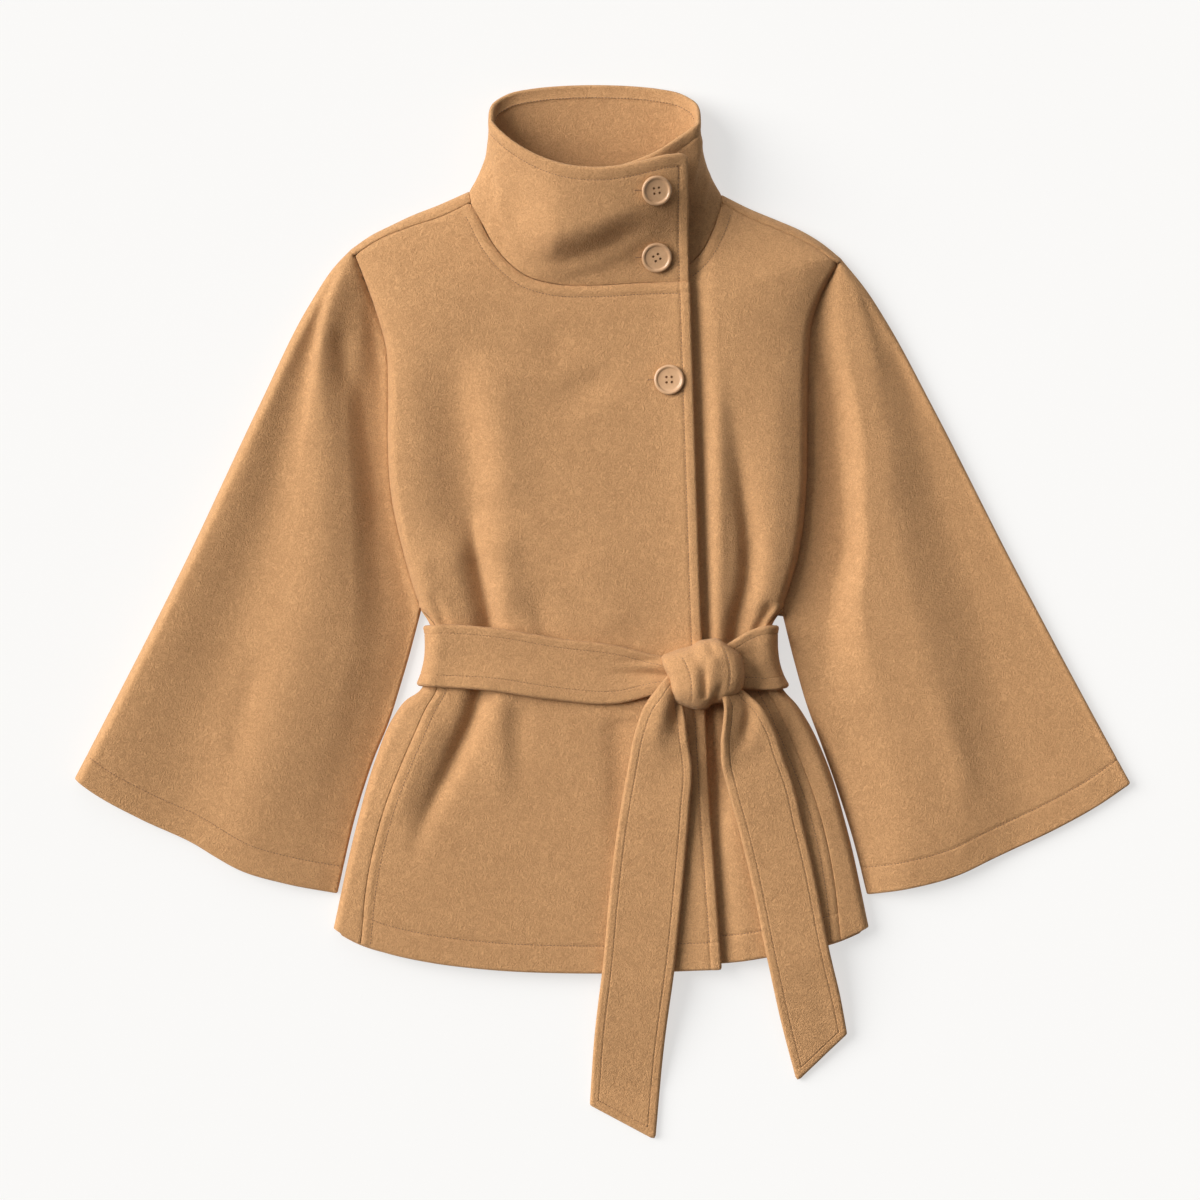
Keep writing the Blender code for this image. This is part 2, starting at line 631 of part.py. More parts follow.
def wall(name, outer, thickness, facing, cells=None, ring=False, seams=()):
    """A cloth wall behind a grid of outer points.

    facing gives an area of the grid and 1 or -1, for an outer face that looks up or
    down there.  Each seam pairs an edge of the grid with the normals that both
    pieces share along it.
    """
    if cells is None:
        cells = np.ones((outer.shape[0] - 1, outer.shape[1] - (0 if ring else 1)), dtype=bool)
    normals = grid_normals(outer, cells, ring)
    area, sign = facing
    normals *= sign * np.sign(normals[area][..., 2].mean())
    for edge, shared in seams:
        normals[edge] = shared
    return solid_between(name, outer, outer - thickness * normals, cells, ring)


ROLL_SHARES = (0.0, 0.005, 0.018, 0.036)     # columns that follow the fold at a front's outline
SHOULDER_END = 0.34                          # the shoulder's share of a front's upper edge
SIDE_END = 0.49                              # the side seam's share of the jacket's length
BACK_SHOULDER_END = 0.23                     # each shoulder's share of the back's upper edge
# Rows down the side seam, from hem to armpit: close together round the waist.
SEAM_SHARES = np.array([1.0, 0.85, 0.7, 0.58, 0.47, 0.36, 0.3, 0.245, 0.18, 0.104, 0.05, 0.0])
ALONG = joined(SIDE_END * (1 - SEAM_SHARES), np.linspace(SIDE_END, 1, ARMHOLE_ROWS + 1))
BELOW_ARM = ALONG <= SIDE_END
ARMHOLE_SHARES = 1 - (ALONG[~BELOW_ARM] - SIDE_END) / (1 - SIDE_END)
SHOULDER_SHARES = joined(np.array(ROLL_SHARES) / SHOULDER_END,
                         np.linspace(ROLL_SHARES[-1] / SHOULDER_END, 1, SHOULDER_COLUMNS))
BACK_SHOULDER_SHARES = SHOULDER_SHARES[[0, 4, 5, 6, 7, 8]]
NECK_SHARES = np.linspace(0, 1, NECK_COLUMNS + 1)
BACK_NECK_SHARES = np.linspace(0, 1, BACK_NECK_COLUMNS + 1)


def front_panel(jacket, name, side, opening_edge):
    """One front: side seam and armhole edge, shoulder and neck seam, front edge and hem."""
    top_of = jacket.front_top(side)
    inward = HALF_GAP if side == "right" else -HALF_GAP
    neck_part = SHOULDER_END + NECK_SHARES * (1 - SHOULDER_END)
    across = joined(SHOULDER_SHARES * SHOULDER_END, neck_part)
    spread = joined(np.linspace(0, SHOULDER_END, len(SHOULDER_SHARES)), neck_part)
    flank = np.concatenate([jacket.side_seam[side].shifted(inward).at(SEAM_SHARES),
                            jacket.armhole[side].at(ARMHOLE_SHARES)])
    shoulder = jacket.shoulder_seam[side].shifted(-inward).at(BACK_SHOULDER_SHARES)
    shoulder = np.stack([np.interp(SHOULDER_SHARES, BACK_SHOULDER_SHARES, axis) for axis in shoulder.T], -1)
    top = joined(shoulder, jacket.neck[side].shifted(-inward).at(NECK_SHARES))
    flank[-1] = top[0]
    opening = opening_edge.at(ALONG)
    opening[-1] = top[-1]
    gather = ease(ALONG / SIDE_END)[:, None]
    share = spread + (across - spread) * gather
    plan = patch_between(jacket.hem[side].at(spread), top, flank, opening, share, ALONG)
    outer = raised(plan, top_of(plan))
    overhang = np.s_[int(BELOW_ARM.sum()) - 1:, 0]
    seams = [(overhang, level_normals(outer[overhang], -1 if side == "right" else 1)),
             (np.s_[-1, :], UPRIGHT), (np.s_[:int(BELOW_ARM.sum()) - 1, 0], UPRIGHT)]
    return wall(name, outer, CLOTH, (np.s_[:, :], 1), seams=seams)


def patch_between(low, high, left, right, u, v):
    """Plan points between four edges that are given as points at the grid's own shares.

    The shape of the two side edges fades out quickly towards the middle.
    """
    v = v[:, None, None]
    w = u[..., None]
    bow_left = left[:, None] - (1 - v) * low[0] - v * high[0]
    bow_right = right[:, None] - (1 - v) * low[-1] - v * high[-1]
    return (1 - v) * low[None] + v * high[None] + (1 - w) ** 2 * bow_left + w ** 2 * bow_right


def towards(starts, ends, fallback):
    """Unit steps from starts to ends, or the fallback where they meet, with the distances."""
    step = ends - starts
    size = np.linalg.norm(step, axis=-1)
    unit = np.where(size[..., None] > 1.0, step / np.maximum(size, 1e-6)[..., None], fallback)
    return unit, size


def armpit_angles():
    """Angles round the body's fold where the back ends below the armhole, short of level."""
    return np.append(np.linspace(-math.pi / 2, -2 * ARMPIT_ANGLE, WRAP_COLUMNS + 1), -ARMPIT_ANGLE)


def side_wrap(jacket, side):
    """The back's stretch round one side: a row per station up the side seam.

    Its columns run from the flat of the back, round the fold and up to the seam.
    """
    apex = jacket.body_side[side].at(SEAM_SHARES)
    outward = -HALF_GAP if side == "right" else HALF_GAP
    seam = jacket.side_seam[side].shifted(outward).at(SEAM_SHARES)
    inward = np.array([1.0, 0.0]) if side == "right" else np.array([-1.0, 0.0])
    unit, width = towards(apex, seam, inward)
    low = column(BODY_FORM, "low", "y", apex[:, 1])
    roll = column(BODY_FORM, "roll", "y", apex[:, 1])
    reach = np.clip(1 - width / roll, 0, 1)
    last = np.arccos(reach) * WRAP_SHORT
    angle = -math.pi / 2 + (last[:, None] + math.pi / 2) * np.linspace(0, 1, WRAP_COLUMNS + 1)
    angle = np.concatenate([angle, np.full((len(angle), 1), math.pi / 2)], axis=1)
    angle[-1] = armpit_angles()
    across = roll[:, None] * (1 - np.cos(angle))
    across[:-1, -1] = width[:-1]
    plan = apex[:, None] + unit[:, None] * across[..., None]
    under = jacket.floor_height(plan)
    over = jacket.body_height(plan)
    lift = np.sin(angle)
    height = low[:, None] + np.where(lift > 0, (over - low[:, None]) * lift, (low[:, None] - under) * lift)
    height[:-1, -1] = jacket.front_top(side)(plan[:-1, -1])
    return raised(plan, height)


def shoulder_wrap(jacket, side):
    """The back's stretch over one shoulder: rows from the flat of the back up to the seam."""
    shares = BACK_SHOULDER_SHARES
    fold = jacket.shoulder_fold[side].at(shares)
    outward = HALF_GAP if side == "right" else -HALF_GAP
    seam = jacket.shoulder_seam[side].shifted(outward).at(shares)
    unit, width = towards(fold, seam, (0.0, -1.0))
    angle = np.linspace(-math.pi / 2, SHOULDER_TOP_ANGLE, SHOULDER_WRAP_ROWS + 1)
    across = SHOULDER_ROLL * (1 - np.cos(angle))[:, None] * np.ones(len(shares))
    across = np.concatenate([across, width[None]])
    plan = fold[None] + unit[None] * across[..., None]
    over = jacket.front_top(side)(plan)
    lift = np.append(np.sin(angle), 1.0)[:, None]
    height = SHOULDER_ROLL + np.where(lift > 0, (over - SHOULDER_ROLL) * lift, SHOULDER_ROLL * lift)
    return raised(plan, height)


def back_panel(jacket):
    """The back: flat on the table, round both sides to the side seams and over both shoulders."""
    wraps = {side: side_wrap(jacket, side) for side in ("right", "left")}
    shoulders = {side: shoulder_wrap(jacket, side) for side in ("right", "left")}
    neck = jacket.neck_back.at(BACK_NECK_SHARES)
    neck[0] = shoulders["right"][0, -1, :2]
    neck[-1] = shoulders["left"][0, -1, :2]
    top = joined(shoulders["right"][0, :, :2], neck, shoulders["left"][0, ::-1, :2])
    width = len(BACK_SHOULDER_SHARES)
    across = joined(np.linspace(0, BACK_SHOULDER_END, width),
                    np.linspace(BACK_SHOULDER_END, 1 - BACK_SHOULDER_END, BACK_NECK_COLUMNS + 1),
                    np.linspace(1 - BACK_SHOULDER_END, 1, width))
    flank = {}
    for side, inward in (("right", 1), ("left", -1)):
        armhole = jacket.armhole_line(side).shifted(inward * HIDDEN_GAP).at(ARMHOLE_SHARES)
        flank[side] = np.concatenate([wraps[side][:, 0, :2], armhole])
    flank["right"][-1], flank["left"][-1] = top[0], top[-1]
    share = np.broadcast_to(across, (len(ALONG), len(across)))
    hem = jacket.hem_back.at(across)
    hem[0], hem[-1] = flank["right"][0], flank["left"][0]
    plan = patch_between(hem, top, flank["right"], flank["left"], share, ALONG)
    flat = raised(plan, jacket.floor_height(plan))

    side_columns = wraps["right"].shape[1] - 1
    shoulder_rows = shoulders["right"].shape[0] - 1
    rows, columns = len(ALONG), len(across)
    side_rows = int(BELOW_ARM.sum())
    outer = np.full((rows + shoulder_rows, columns + 2 * side_columns, 3), np.nan)
    outer[:rows, side_columns:side_columns + columns] = flat
    outer[:side_rows, :side_columns] = wraps["right"][:, :0:-1]
    outer[:side_rows, side_columns + columns:] = wraps["left"][:, 1:]
    right_end = side_columns + width
    left_start = side_columns + columns - width
    outer[rows:, side_columns:right_end] = shoulders["right"][1:]
    outer[rows:, left_start:left_start + width] = shoulders["left"][1:, ::-1]
    cells = np.zeros((outer.shape[0] - 1, outer.shape[1] - 1), dtype=bool)
    cells[:rows - 1, side_columns:side_columns + columns - 1] = True
    cells[:side_rows - 1, :side_columns] = True
    cells[:side_rows - 1, side_columns + columns - 1:] = True
    cells[rows - 1:, side_columns:right_end - 1] = True
    cells[rows - 1:, left_start:left_start + width - 1] = True
    seams = [(edge, UPRIGHT) for edge in (np.s_[:side_rows - 1, 0], np.s_[:side_rows - 1, -1],
                                          np.s_[-1, side_columns:right_end],
                                          np.s_[-1, left_start:left_start + width])]
    angle = armpit_angles()[1:]
    armpit = np.stack([-np.cos(angle), np.zeros_like(angle), np.sin(angle)], -1)
    seams.append((np.s_[side_rows - 1, :side_columns], armpit[::-1]))
    seams.append((np.s_[side_rows - 1, side_columns + columns:], armpit * (-1, 1, 1)))
    used = np.isfinite(outer[..., 0])
    outer = np.where(used[..., None], outer, 0.0)
    middle = np.s_[2:side_rows - 2, side_columns + 3:side_columns + columns - 3]
    return wall("back", outer, CLOTH, (middle, -1), cells, seams=seams)


SLEEVE_ACROSS = np.concatenate([np.linspace(0, 0.95, SLEEVE_COLUMNS), [0.975, 0.993, 1.0]])
SLEEVE_ALONG = np.linspace(0, 1, SLEEVE_ROWS + 1) ** 1.1
SLEEVE_ROLL_LIMIT = 0.6                      # most of the band that its fold may take up
SLEEVE_START = 0.014                         # the sleeve starts just past the shoulder point
ARMHOLE_ACROSS = np.clip(SLEEVE_ACROSS, 0.006, 1)
TUCK_SKIP = 3                                # points of the tuck that the shoulder's corner replaces


def sleeve_front(jacket, name, side):
    """The sleeve's upper piece, from the overarm ridge to the underarm edge."""
    outward = 1 if side == "right" else -1
    ridge = jacket.ridge[side].shifted(outward * HALF_GAP).at(np.maximum(SLEEVE_ALONG, SLEEVE_START))
    inner = jacket.inner[side].at(SLEEVE_ALONG)
    hem = jacket.sleeve_hem[side]
    split = hem_split(jacket, side)
    share = np.broadcast_to(SLEEVE_ACROSS, (len(SLEEVE_ALONG), len(SLEEVE_ACROSS)))
    armhole = jacket.armhole[side].at(ARMHOLE_ACROSS)
    armhole[0] = ridge[0]
    hem_part = hem.at(split + (1 - split) * SLEEVE_ACROSS)
    plan = patch_between(armhole, hem_part, ridge, inner, share, SLEEVE_ALONG)
    plan = np.concatenate([jacket.armhole_line(side).at(ARMHOLE_ACROSS)[None], plan])

    height = jacket.sleeve_top(plan, side)
    under = CLOTH + LAY
    roll = column(SLEEVE_FORM, "edge", "y", plan[..., 1]) / 2
    from_underarm = distance_to([jacket.inner[side]], plan)
    from_underarm[:, -1] = 0.0
    height = under + (height - under) * quarter(from_underarm / roll)
    outer = raised(plan, height)
    underarm = level_normals(outer[1:, -1], outward)
    return wall(name, outer, CLOTH, (np.s_[:, :-3], 1),
                seams=[(np.s_[:, 0], UPRIGHT), (np.s_[1:, -1], underarm), (np.s_[0, -1], underarm[0])])


def hem_split(jacket, side):
    """The ridge seam's place along the sleeve's hem, as a share of it."""
    hem = jacket.sleeve_hem[side]
    end = jacket.ridge[side].points[-1]
    return hem.share[np.linalg.norm(hem.points - end, axis=1).argmin()]


def sleeve_back(jacket, name, side):
    """The sleeve's under piece: from the ridge, round the outer fold and flat below."""
    outward = 1 if side == "right" else -1
    along = np.maximum(SLEEVE_ALONG, SLEEVE_START)
    ridge = jacket.ridge[side].shifted(-outward * HALF_GAP).at(along)
    fold = jacket.outer[side].at(along)
    inner = jacket.inner[side].at(SLEEVE_ALONG)
    hem = jacket.sleeve_hem[side]
    split = hem_split(jacket, side)
    edge = column(SLEEVE_FORM, "edge", "y", fold[:, 1])
    roll = edge[:, None] / 2
    band = np.linalg.norm(ridge - fold, axis=1)[:, None]
    under = np.linalg.norm(inner - fold, axis=1)[:, None]
    top_angle = np.linspace(math.pi / 2, 0, 3)[None, :-1]
    low_angle = np.linspace(0, -math.pi / 2, 3)[None]
    rolled = np.minimum(roll / band, SLEEVE_ROLL_LIMIT)
    flat_shares = np.linspace(1, 0, SLEEVE_BAND_COLUMNS + 1)[None, :-1]
    flat_part = rolled + (1 - rolled) * flat_shares
    band_shares = np.concatenate([flat_part, rolled * (1 - np.cos(top_angle))], axis=1)
    fold_shares = roll * (1 - np.cos(low_angle)) / under
    first = fold_shares[:, -1:]
    beyond = np.linspace(0, 1, SLEEVE_UNDER_COLUMNS + 1)[1:]
    low_shares = np.concatenate([fold_shares, first + (1 - first) * beyond], axis=1)
    crossing = Curve([fold[0], ridge[0]])
    band_hem = Curve(hem.at(np.linspace(0, split, 30)))
    band_plan = patch(crossing, band_hem, fold, ridge, band_shares, SLEEVE_ALONG)
    tuck = Curve(np.concatenate([fold[:1], jacket.armhole_line(side).points[TUCK_SKIP:]]))
    under_plan = patch(tuck, hem, fold, inner, low_shares, SLEEVE_ALONG)
    top = jacket.sleeve_top(band_plan, side)
    every_row = np.ones_like(rolled)
    lift = np.concatenate([np.ones_like(flat_part), every_row * np.sin(top_angle)], axis=1)
    band_height = roll + (top - roll) * lift
    sink = np.concatenate([every_row * np.sin(low_angle), -every_row * np.ones_like(beyond)], axis=1)
    under_height = roll + roll * sink
    outer = np.concatenate([raised(band_plan, band_height), raised(under_plan, under_height)], axis=1)

    middle = np.s_[2:-1, -SLEEVE_UNDER_COLUMNS:-1]
    return wall(name, outer, CLOTH, (middle, -1), seams=[(np.s_[:, 0], UPRIGHT)])


def rim_point(angle):
    """A point of the collar's rim; 90 degrees is the middle of the front."""
    cosine, sine = np.cos(angle), np.sin(angle)
    size = np.abs(sine)
    dip = RIM_FRONT_DIP * size ** np.where(cosine < 0, *RIM_FRONT_POWERS)
    y = RIM_MIDDLE_Y + np.where(sine > 0, -dip, RIM_BACK_RISE * size ** RIM_BACK_POWER)
    front, back = RIM_HEIGHT_POWERS
    z = RIM_HALF_HEIGHT * (1 + np.where(sine > 0, size ** front, -size ** back))
    return np.stack([RIM_CENTRE_X + RIM_HALF_WIDTH * cosine, y, z], -1)


def rim_curve(start, end):
    """The rim between two angles in degrees."""
    return Curve(rim_point(np.radians(np.linspace(start, end, 200))))


def collar_grid(jacket):
    """Outer face of the collar: a row per height, columns once round and on under the flap."""
    shares = NECK_SHARES
    flap_plan = jacket.neck["right"].shifted(HALF_GAP).at(1 - shares)
    flap_base = raised(flap_plan, jacket.right_front_top(flap_plan))
    plain_rim = rim_curve(FLAP_ANGLE, LEFT_ANGLE).at(shares ** RIM_SPREAD)
    flap_rim = plain_rim.copy()
    stand = np.clip((flap_rim[:, 0] - FLAP_STEP_START_X) / (FLAP_STEP_END_X - FLAP_STEP_START_X), 0, 1)
    flap_rim[:, 1] -= FLAP_STEP * stand ** FLAP_STEP_POWER
    flap_rim[:, 2] += FLAP_RAISE * stand ** 2

    bands = {}
    for side in ("right", "left"):
        fold = jacket.shoulder_fold[side]
        seam = jacket.neck[side].at(0.0)
        beyond = fold.points[-1] - fold.points[-2]
        apex = fold.points[-1] + beyond / np.linalg.norm(beyond) * 2 * LAY
        unit, _ = towards(apex[None], seam[None], (0.0, -1.0))
        angle = np.radians(SIDE_BAND_ANGLES)[:, None]
        plan = apex + unit * SHOULDER_ROLL * (1 - np.cos(angle))
        top = jacket.front_top(side)(plan)[:, None]
        lift = np.sin(angle)
        height = SHOULDER_ROLL + np.where(lift > 0, (top - SHOULDER_ROLL) * lift, SHOULDER_ROLL * lift)
        bands[side] = np.concatenate([plan, height], axis=1)
    back_plan = jacket.neck_back.at(BACK_NECK_SHARES) + (0.0, 4 * HALF_GAP)
    back_plan[0] += NECK_CORNER_STEP * (back_plan[1] - back_plan[0]) + (0.0, 2 * LAY)
    back_plan[-1] += NECK_CORNER_STEP * (back_plan[-2] - back_plan[-1]) + (0.0, 2 * LAY)
    back_base = raised(back_plan, np.zeros(len(back_plan)))
    back_rim = rim_curve(LEFT_BACK_ANGLE, RIGHT_BACK_ANGLE).at(BACK_NECK_SHARES)
    band_shares = np.linspace(0, 1, len(SIDE_BAND_ANGLES) + 2)[1:-1]
    left_rim = rim_curve(LEFT_ANGLE, LEFT_BACK_ANGLE).at(band_shares)
    right_rim = rim_curve(RIGHT_BACK_ANGLE, RIGHT_ANGLE).at(band_shares)

    lap_plan = jacket.neck["left"].shifted(-HALF_GAP).at(shares)
    sunk = LAP_SINK * ease((LAP_SINK_START_X - lap_plan[:, 0]) / LAP_SINK_WIDTH)
    lap_base = raised(lap_plan, jacket.left_front_top(lap_plan) - sunk)
    covered = lap_plan[:, 0] < flap_plan[0, 0]
    free_share = shares[covered][0]
    lap_rim = rim_curve(RIGHT_ANGLE, 360 + FLAP_ANGLE).at(shares / free_share)
    under_flap = [np.interp(lap_plan[covered, 0], flap_plan[::-1, 0], axis[::-1]) for axis in plain_rim.T]
    lap_rim[covered] = np.stack(under_flap, -1)
    along = np.gradient(lap_rim, axis=0)
    outward = np.stack([-along[:, 2], np.zeros(len(shares)), along[:, 0]], -1)
    outward *= np.sign(outward[-3:, 2].mean())
    outward /= np.linalg.norm(outward, axis=1)[:, None]
    lap_rim += ease(shares / free_share)[:, None] * (np.array([0.0, WRAP_BACK, 0.0]) - WRAP_DROP * outward)

    base = np.concatenate([flap_base, bands["right"], back_base, bands["left"][::-1], lap_base])
    rim = np.concatenate([flap_rim, left_rim, back_rim, right_rim, lap_rim])
    up = np.linspace(0, 1, COLLAR_ROWS + 1)[:, None]
    across = base[:, 0]
    front = np.zeros(len(base))
    front[:len(shares)] = 1.0
    front[-len(shares):] = 1.0
    dent = front * ease((across - DENT_SPAN[0]) / DENT_FADE[0])
    dent *= ease((DENT_SPAN[1] - across) / DENT_FADE[1])
    middle = np.interp(across, DENT_LEVEL_SPAN, DENT_LEVELS)
    bent = (1 - DENT_DEPTH) * up + DENT_DEPTH * ease(2 * (up - middle) + 0.5)
    bent = (bent - bent[:1]) / (bent[-1:] - bent[:1])
    climb = (1 - dent) * up ** CLIMB_POWER + dent * bent
    narrow = (1 - up) ** NARROW_POWER
    x = rim[:, 0] + (base[:, 0] - rim[:, 0]) * narrow
    y = base[:, 1] + (rim[:, 1] - base[:, 1]) * up
    z = base[:, 2] + (rim[:, 2] - base[:, 2]) * climb
    return np.stack([x, y, z], -1)


def collar(jacket):
    """The funnel collar, two layers thick, its flap lying over its own other end."""
    outer = collar_grid(jacket)
    count = NECK_COLUMNS + 1
    up = np.linspace(0, 1, COLLAR_ROWS + 1)
    thickness = CLOTH + (COLLAR_WALL - CLOTH) * ease(up)
    seams = [(np.s_[0, :count], UPRIGHT), (np.s_[0, -count:], UPRIGHT)]
    return wall("collar", outer, thickness[:, None, None], (np.s_[:, 2:NECK_COLUMNS - 2], 1), seams=seams)


def rings_round(centre, radii, steps):
    """A place and the places on rings round it."""
    around = [(centre[0] + radius * math.cos(turn), centre[1] + radius * math.sin(turn))
              for turn in np.linspace(0, 2 * math.pi, steps, endpoint=False) for radius in radii]
    return [tuple(centre)] + around


class Seat:
    """The faceted surface of finished pieces, seen from above, for what lies on it."""

    def __init__(self, *parts):
        vertices, faces = [], []
        for part in parts:
            start = len(vertices)
            vertices += [vertex.co / MM for vertex in part.data.vertices]
            part.data.calc_loop_triangles()
            faces += [[start + index for index in triangle.vertices] for triangle in part.data.loop_triangles]
        self.tree = BVHTree.FromPolygons(vertices, faces)

    def height(self, x, y):
        """Height of the topmost face at one place, or 0 beside the pieces."""
        hit = self.tree.ray_cast(Vector((x, y, ABOVE_ALL)), Vector((0, 0, -1)))[0]
        return hit.z if hit else 0.0

    def push_out(self, points, centres, gap):
        """Points moved away from their centres until they clear the faces near them."""
        moved = points.copy()
        for index in np.ndindex(points.shape[:-1]):
            point, centre = Vector(points[index]), Vector(centres[index])
            outward = (point - centre).normalized()
            far = max(self.outermost(centre + Vector((0, aside, 0)), outward) for aside in PUSH_ASIDE)
            if far + gap > (point - centre).length:
                moved[index] = centre + outward * (far + gap)
        moved[..., 2] = np.maximum(moved[..., 2], 0.0)
        return moved

    def outermost(self, centre, outward):
        """Distance from a centre to the last face outward of it."""
        hit = self.tree.ray_cast(centre + outward * ABOVE_ALL, -outward)[0]
        return (hit - centre).dot(outward) if hit else 0.0

    def drape(self, plan, reach):
        """Heights that clear everything within reach of each plan point."""
        heights = np.empty(plan.shape[:-1])
        for index in np.ndindex(heights.shape):
            around = rings_round(plan[index], (reach / 2, reach), 12)
            heights[index] = max(self.height(*place) for place in around)
        return heights


def belt_line(x, across):
    """Y of the belt's front stretch at this x, from its lower edge at -1 to its upper at 1."""
    top = column(BELT_FRONT, "top", "x", x)
    bottom = column(BELT_FRONT, "bottom", "x", x)
    return (top + bottom) / 2 + across * (top - bottom) / 2


def belt_waist(jacket, seat, body):
    """The belt's turn round the waist: across the front, round both sides and under the back."""
    side_angle = np.linspace(math.pi / 2, -math.pi / 2, BELT_SIDE_STEPS + 1)
    rows = []
    for across in np.linspace(-1, 1, BELT_ROWS + 1):
        ends = {}
        for side in ("right", "left"):
            end_y = belt_line(BELT_SPAN[0 if side == "right" else 1], across)
            low = column(BODY_FORM, "low", "y", end_y)
            roll = column(BODY_FORM, "roll", "y", end_y)
            inward = 1 if side == "right" else -1
            ends[side] = (jacket.body_side[side].x_at(end_y), end_y, low, roll, inward)
        start = ends["right"][0] + ends["right"][3]
        stop = ends["left"][0] - ends["left"][3]
        x = np.linspace(start, stop, BELT_FRONT_STEPS + 1)
        front = np.stack([x, belt_line(x, across)], -1)
        front = raised(front, seat.drape(front, DRAPE_REACH) + LAY)
        turns = {}
        for side, level in (("right", front[0, 2]), ("left", front[-1, 2])):
            apex_x, end_y, low, roll, inward = ends[side]
            plan_x = apex_x + inward * (roll - (roll + LAY) * np.cos(side_angle))
            lift = np.sin(side_angle)
            z = low + np.where(lift > 0, (level - low) * lift, (low - DOUBLE) * lift)
            ease_back = ease((1 - lift) / 2)
            y = end_y + (BELT_BACK_Y + across * BELT_BACK_HALF - end_y) * ease_back
            turn = np.stack([plan_x, y, z], -1)
            centres = np.stack([np.full_like(y, apex_x + inward * roll), y, np.full_like(y, low)], -1)
            turn[1:-1] = body.push_out(turn[1:-1], centres[1:-1], LAY)
            turns[side] = turn
        back_x = np.linspace(turns["left"][-1, 0], turns["right"][-1, 0], BELT_BACK_STEPS + 1)
        back = np.stack([back_x, np.full_like(back_x, BELT_BACK_Y + across * BELT_BACK_HALF),
                         np.full_like(back_x, DOUBLE)], -1)
        rows.append(np.concatenate([front, turns["left"][1:], back[1:-1], turns["right"][:0:-1]]))
    inner = np.array(rows)
    cells = np.ones((inner.shape[0] - 1, inner.shape[1]), dtype=bool)
    normals = grid_normals(inner, cells, ring=True)
    normals *= np.sign(normals[:, 3:BELT_FRONT_STEPS - 3, 2].mean())
    return solid_between("belt_waist", inner + DOUBLE * normals, inner, ring=True)


def belt_tail(name, side, seat, turn):
    """One hanging end of the belt, over the front and the belt's turn and on to the table."""
    sections = TAIL_SECTIONS[side]
    share = np.linspace(0, 1, TAIL_COLUMNS + 1)[None, :, None]
    lefts = smooth_line([(row.left_x, row.left_y) for row in sections], TAIL_PER_SECTION)
    rights = smooth_line([(row.right_x, row.right_y) for row in sections], TAIL_PER_SECTION)
    plan = lefts[:, None] * (1 - share) + rights[:, None] * share
    under = np.maximum(seat.drape(plan, DRAPE_REACH), turn.drape(plan, DRAPE_REACH)) + LAY
    under[under <= LAY] = 0.0
    return solid_between(name, raised(plan, under + DOUBLE), raised(plan, under))


def belt_knot(seat):
    """The knot: a rounded lump over the belt and both tails, with its wrapping strap."""
    side = np.linspace(-1, 1, KNOT_STEPS + 1)
    u, v = np.meshgrid(side, side)
    disc = np.stack([u * np.sqrt(1 - v ** 2 / 2), v * np.sqrt(1 - u ** 2 / 2)], -1)
    plan = np.array(KNOT_CENTRE) + disc * KNOT_HALF
    middle = 1 - np.clip(np.linalg.norm(disc, axis=-1), 0, 1) ** KNOT_ROUNDING
    under = seat.drape(plan, KNOT_REACH) + LAY
    strap = np.abs(disc[..., 0] * KNOT_HALF[0] - STRAP_CENTRE) / STRAP_HALF
    ridge = STRAP_HEIGHT * ease((1 - strap) / STRAP_SLOPE + 0.5)
    level = seat.height(*KNOT_CENTRE) + LAY
    top = np.maximum(under + KNOT_EDGE / 2, level + KNOT_EDGE) + (KNOT_RISE - KNOT_EDGE + ridge) * middle
    return solid_between("belt_knot", raised(plan, top), raised(plan, under))


def turned(name, profile, steps=24):
    """A closed solid turned about Z from a button's section, flat at both ends."""
    shape = bmesh.new()
    rings = []
    for row in profile:
        radius, height = BUTTON_RADIUS - row.inset, row.height
        ring = []
        for step in range(steps):
            angle = 2 * math.pi * step / steps
            place = (radius * math.cos(angle) * MM, radius * math.sin(angle) * MM, height * MM)
            ring.append(shape.verts.new(place))
        rings.append(ring)
    for low, high in zip(rings, rings[1:]):
        for step in range(steps):
            after = (step + 1) % steps
            shape.faces.new((low[step], low[after], high[after], high[step]))
    shape.faces.new(rings[0][::-1])
    shape.faces.new(rings[-1])
    mesh = bpy.data.meshes.new(name)
    shape.to_mesh(mesh)
    shape.free()
    return mesh


def hole_cutter(name):
    """Four upright rods that cut a button's holes."""
    shape = bmesh.new()
    for quarter_turn in range(4):
        angle = math.pi / 4 + quarter_turn * math.pi / 2
        reach = BUTTON_HOLE_SPACING / math.sqrt(2)
        middle = Vector((reach * math.cos(angle), reach * math.sin(angle), BUTTON_THICKNESS / 2))
        place = Matrix.Translation(middle * MM)
        bmesh.ops.create_cone(shape, cap_ends=True, segments=10, radius1=BUTTON_HOLE * MM,
                              radius2=BUTTON_HOLE * MM, depth=2 * BUTTON_THICKNESS * MM, matrix=place)
    mesh = bpy.data.meshes.new(name)
    shape.to_mesh(mesh)
    shape.free()
    return mesh


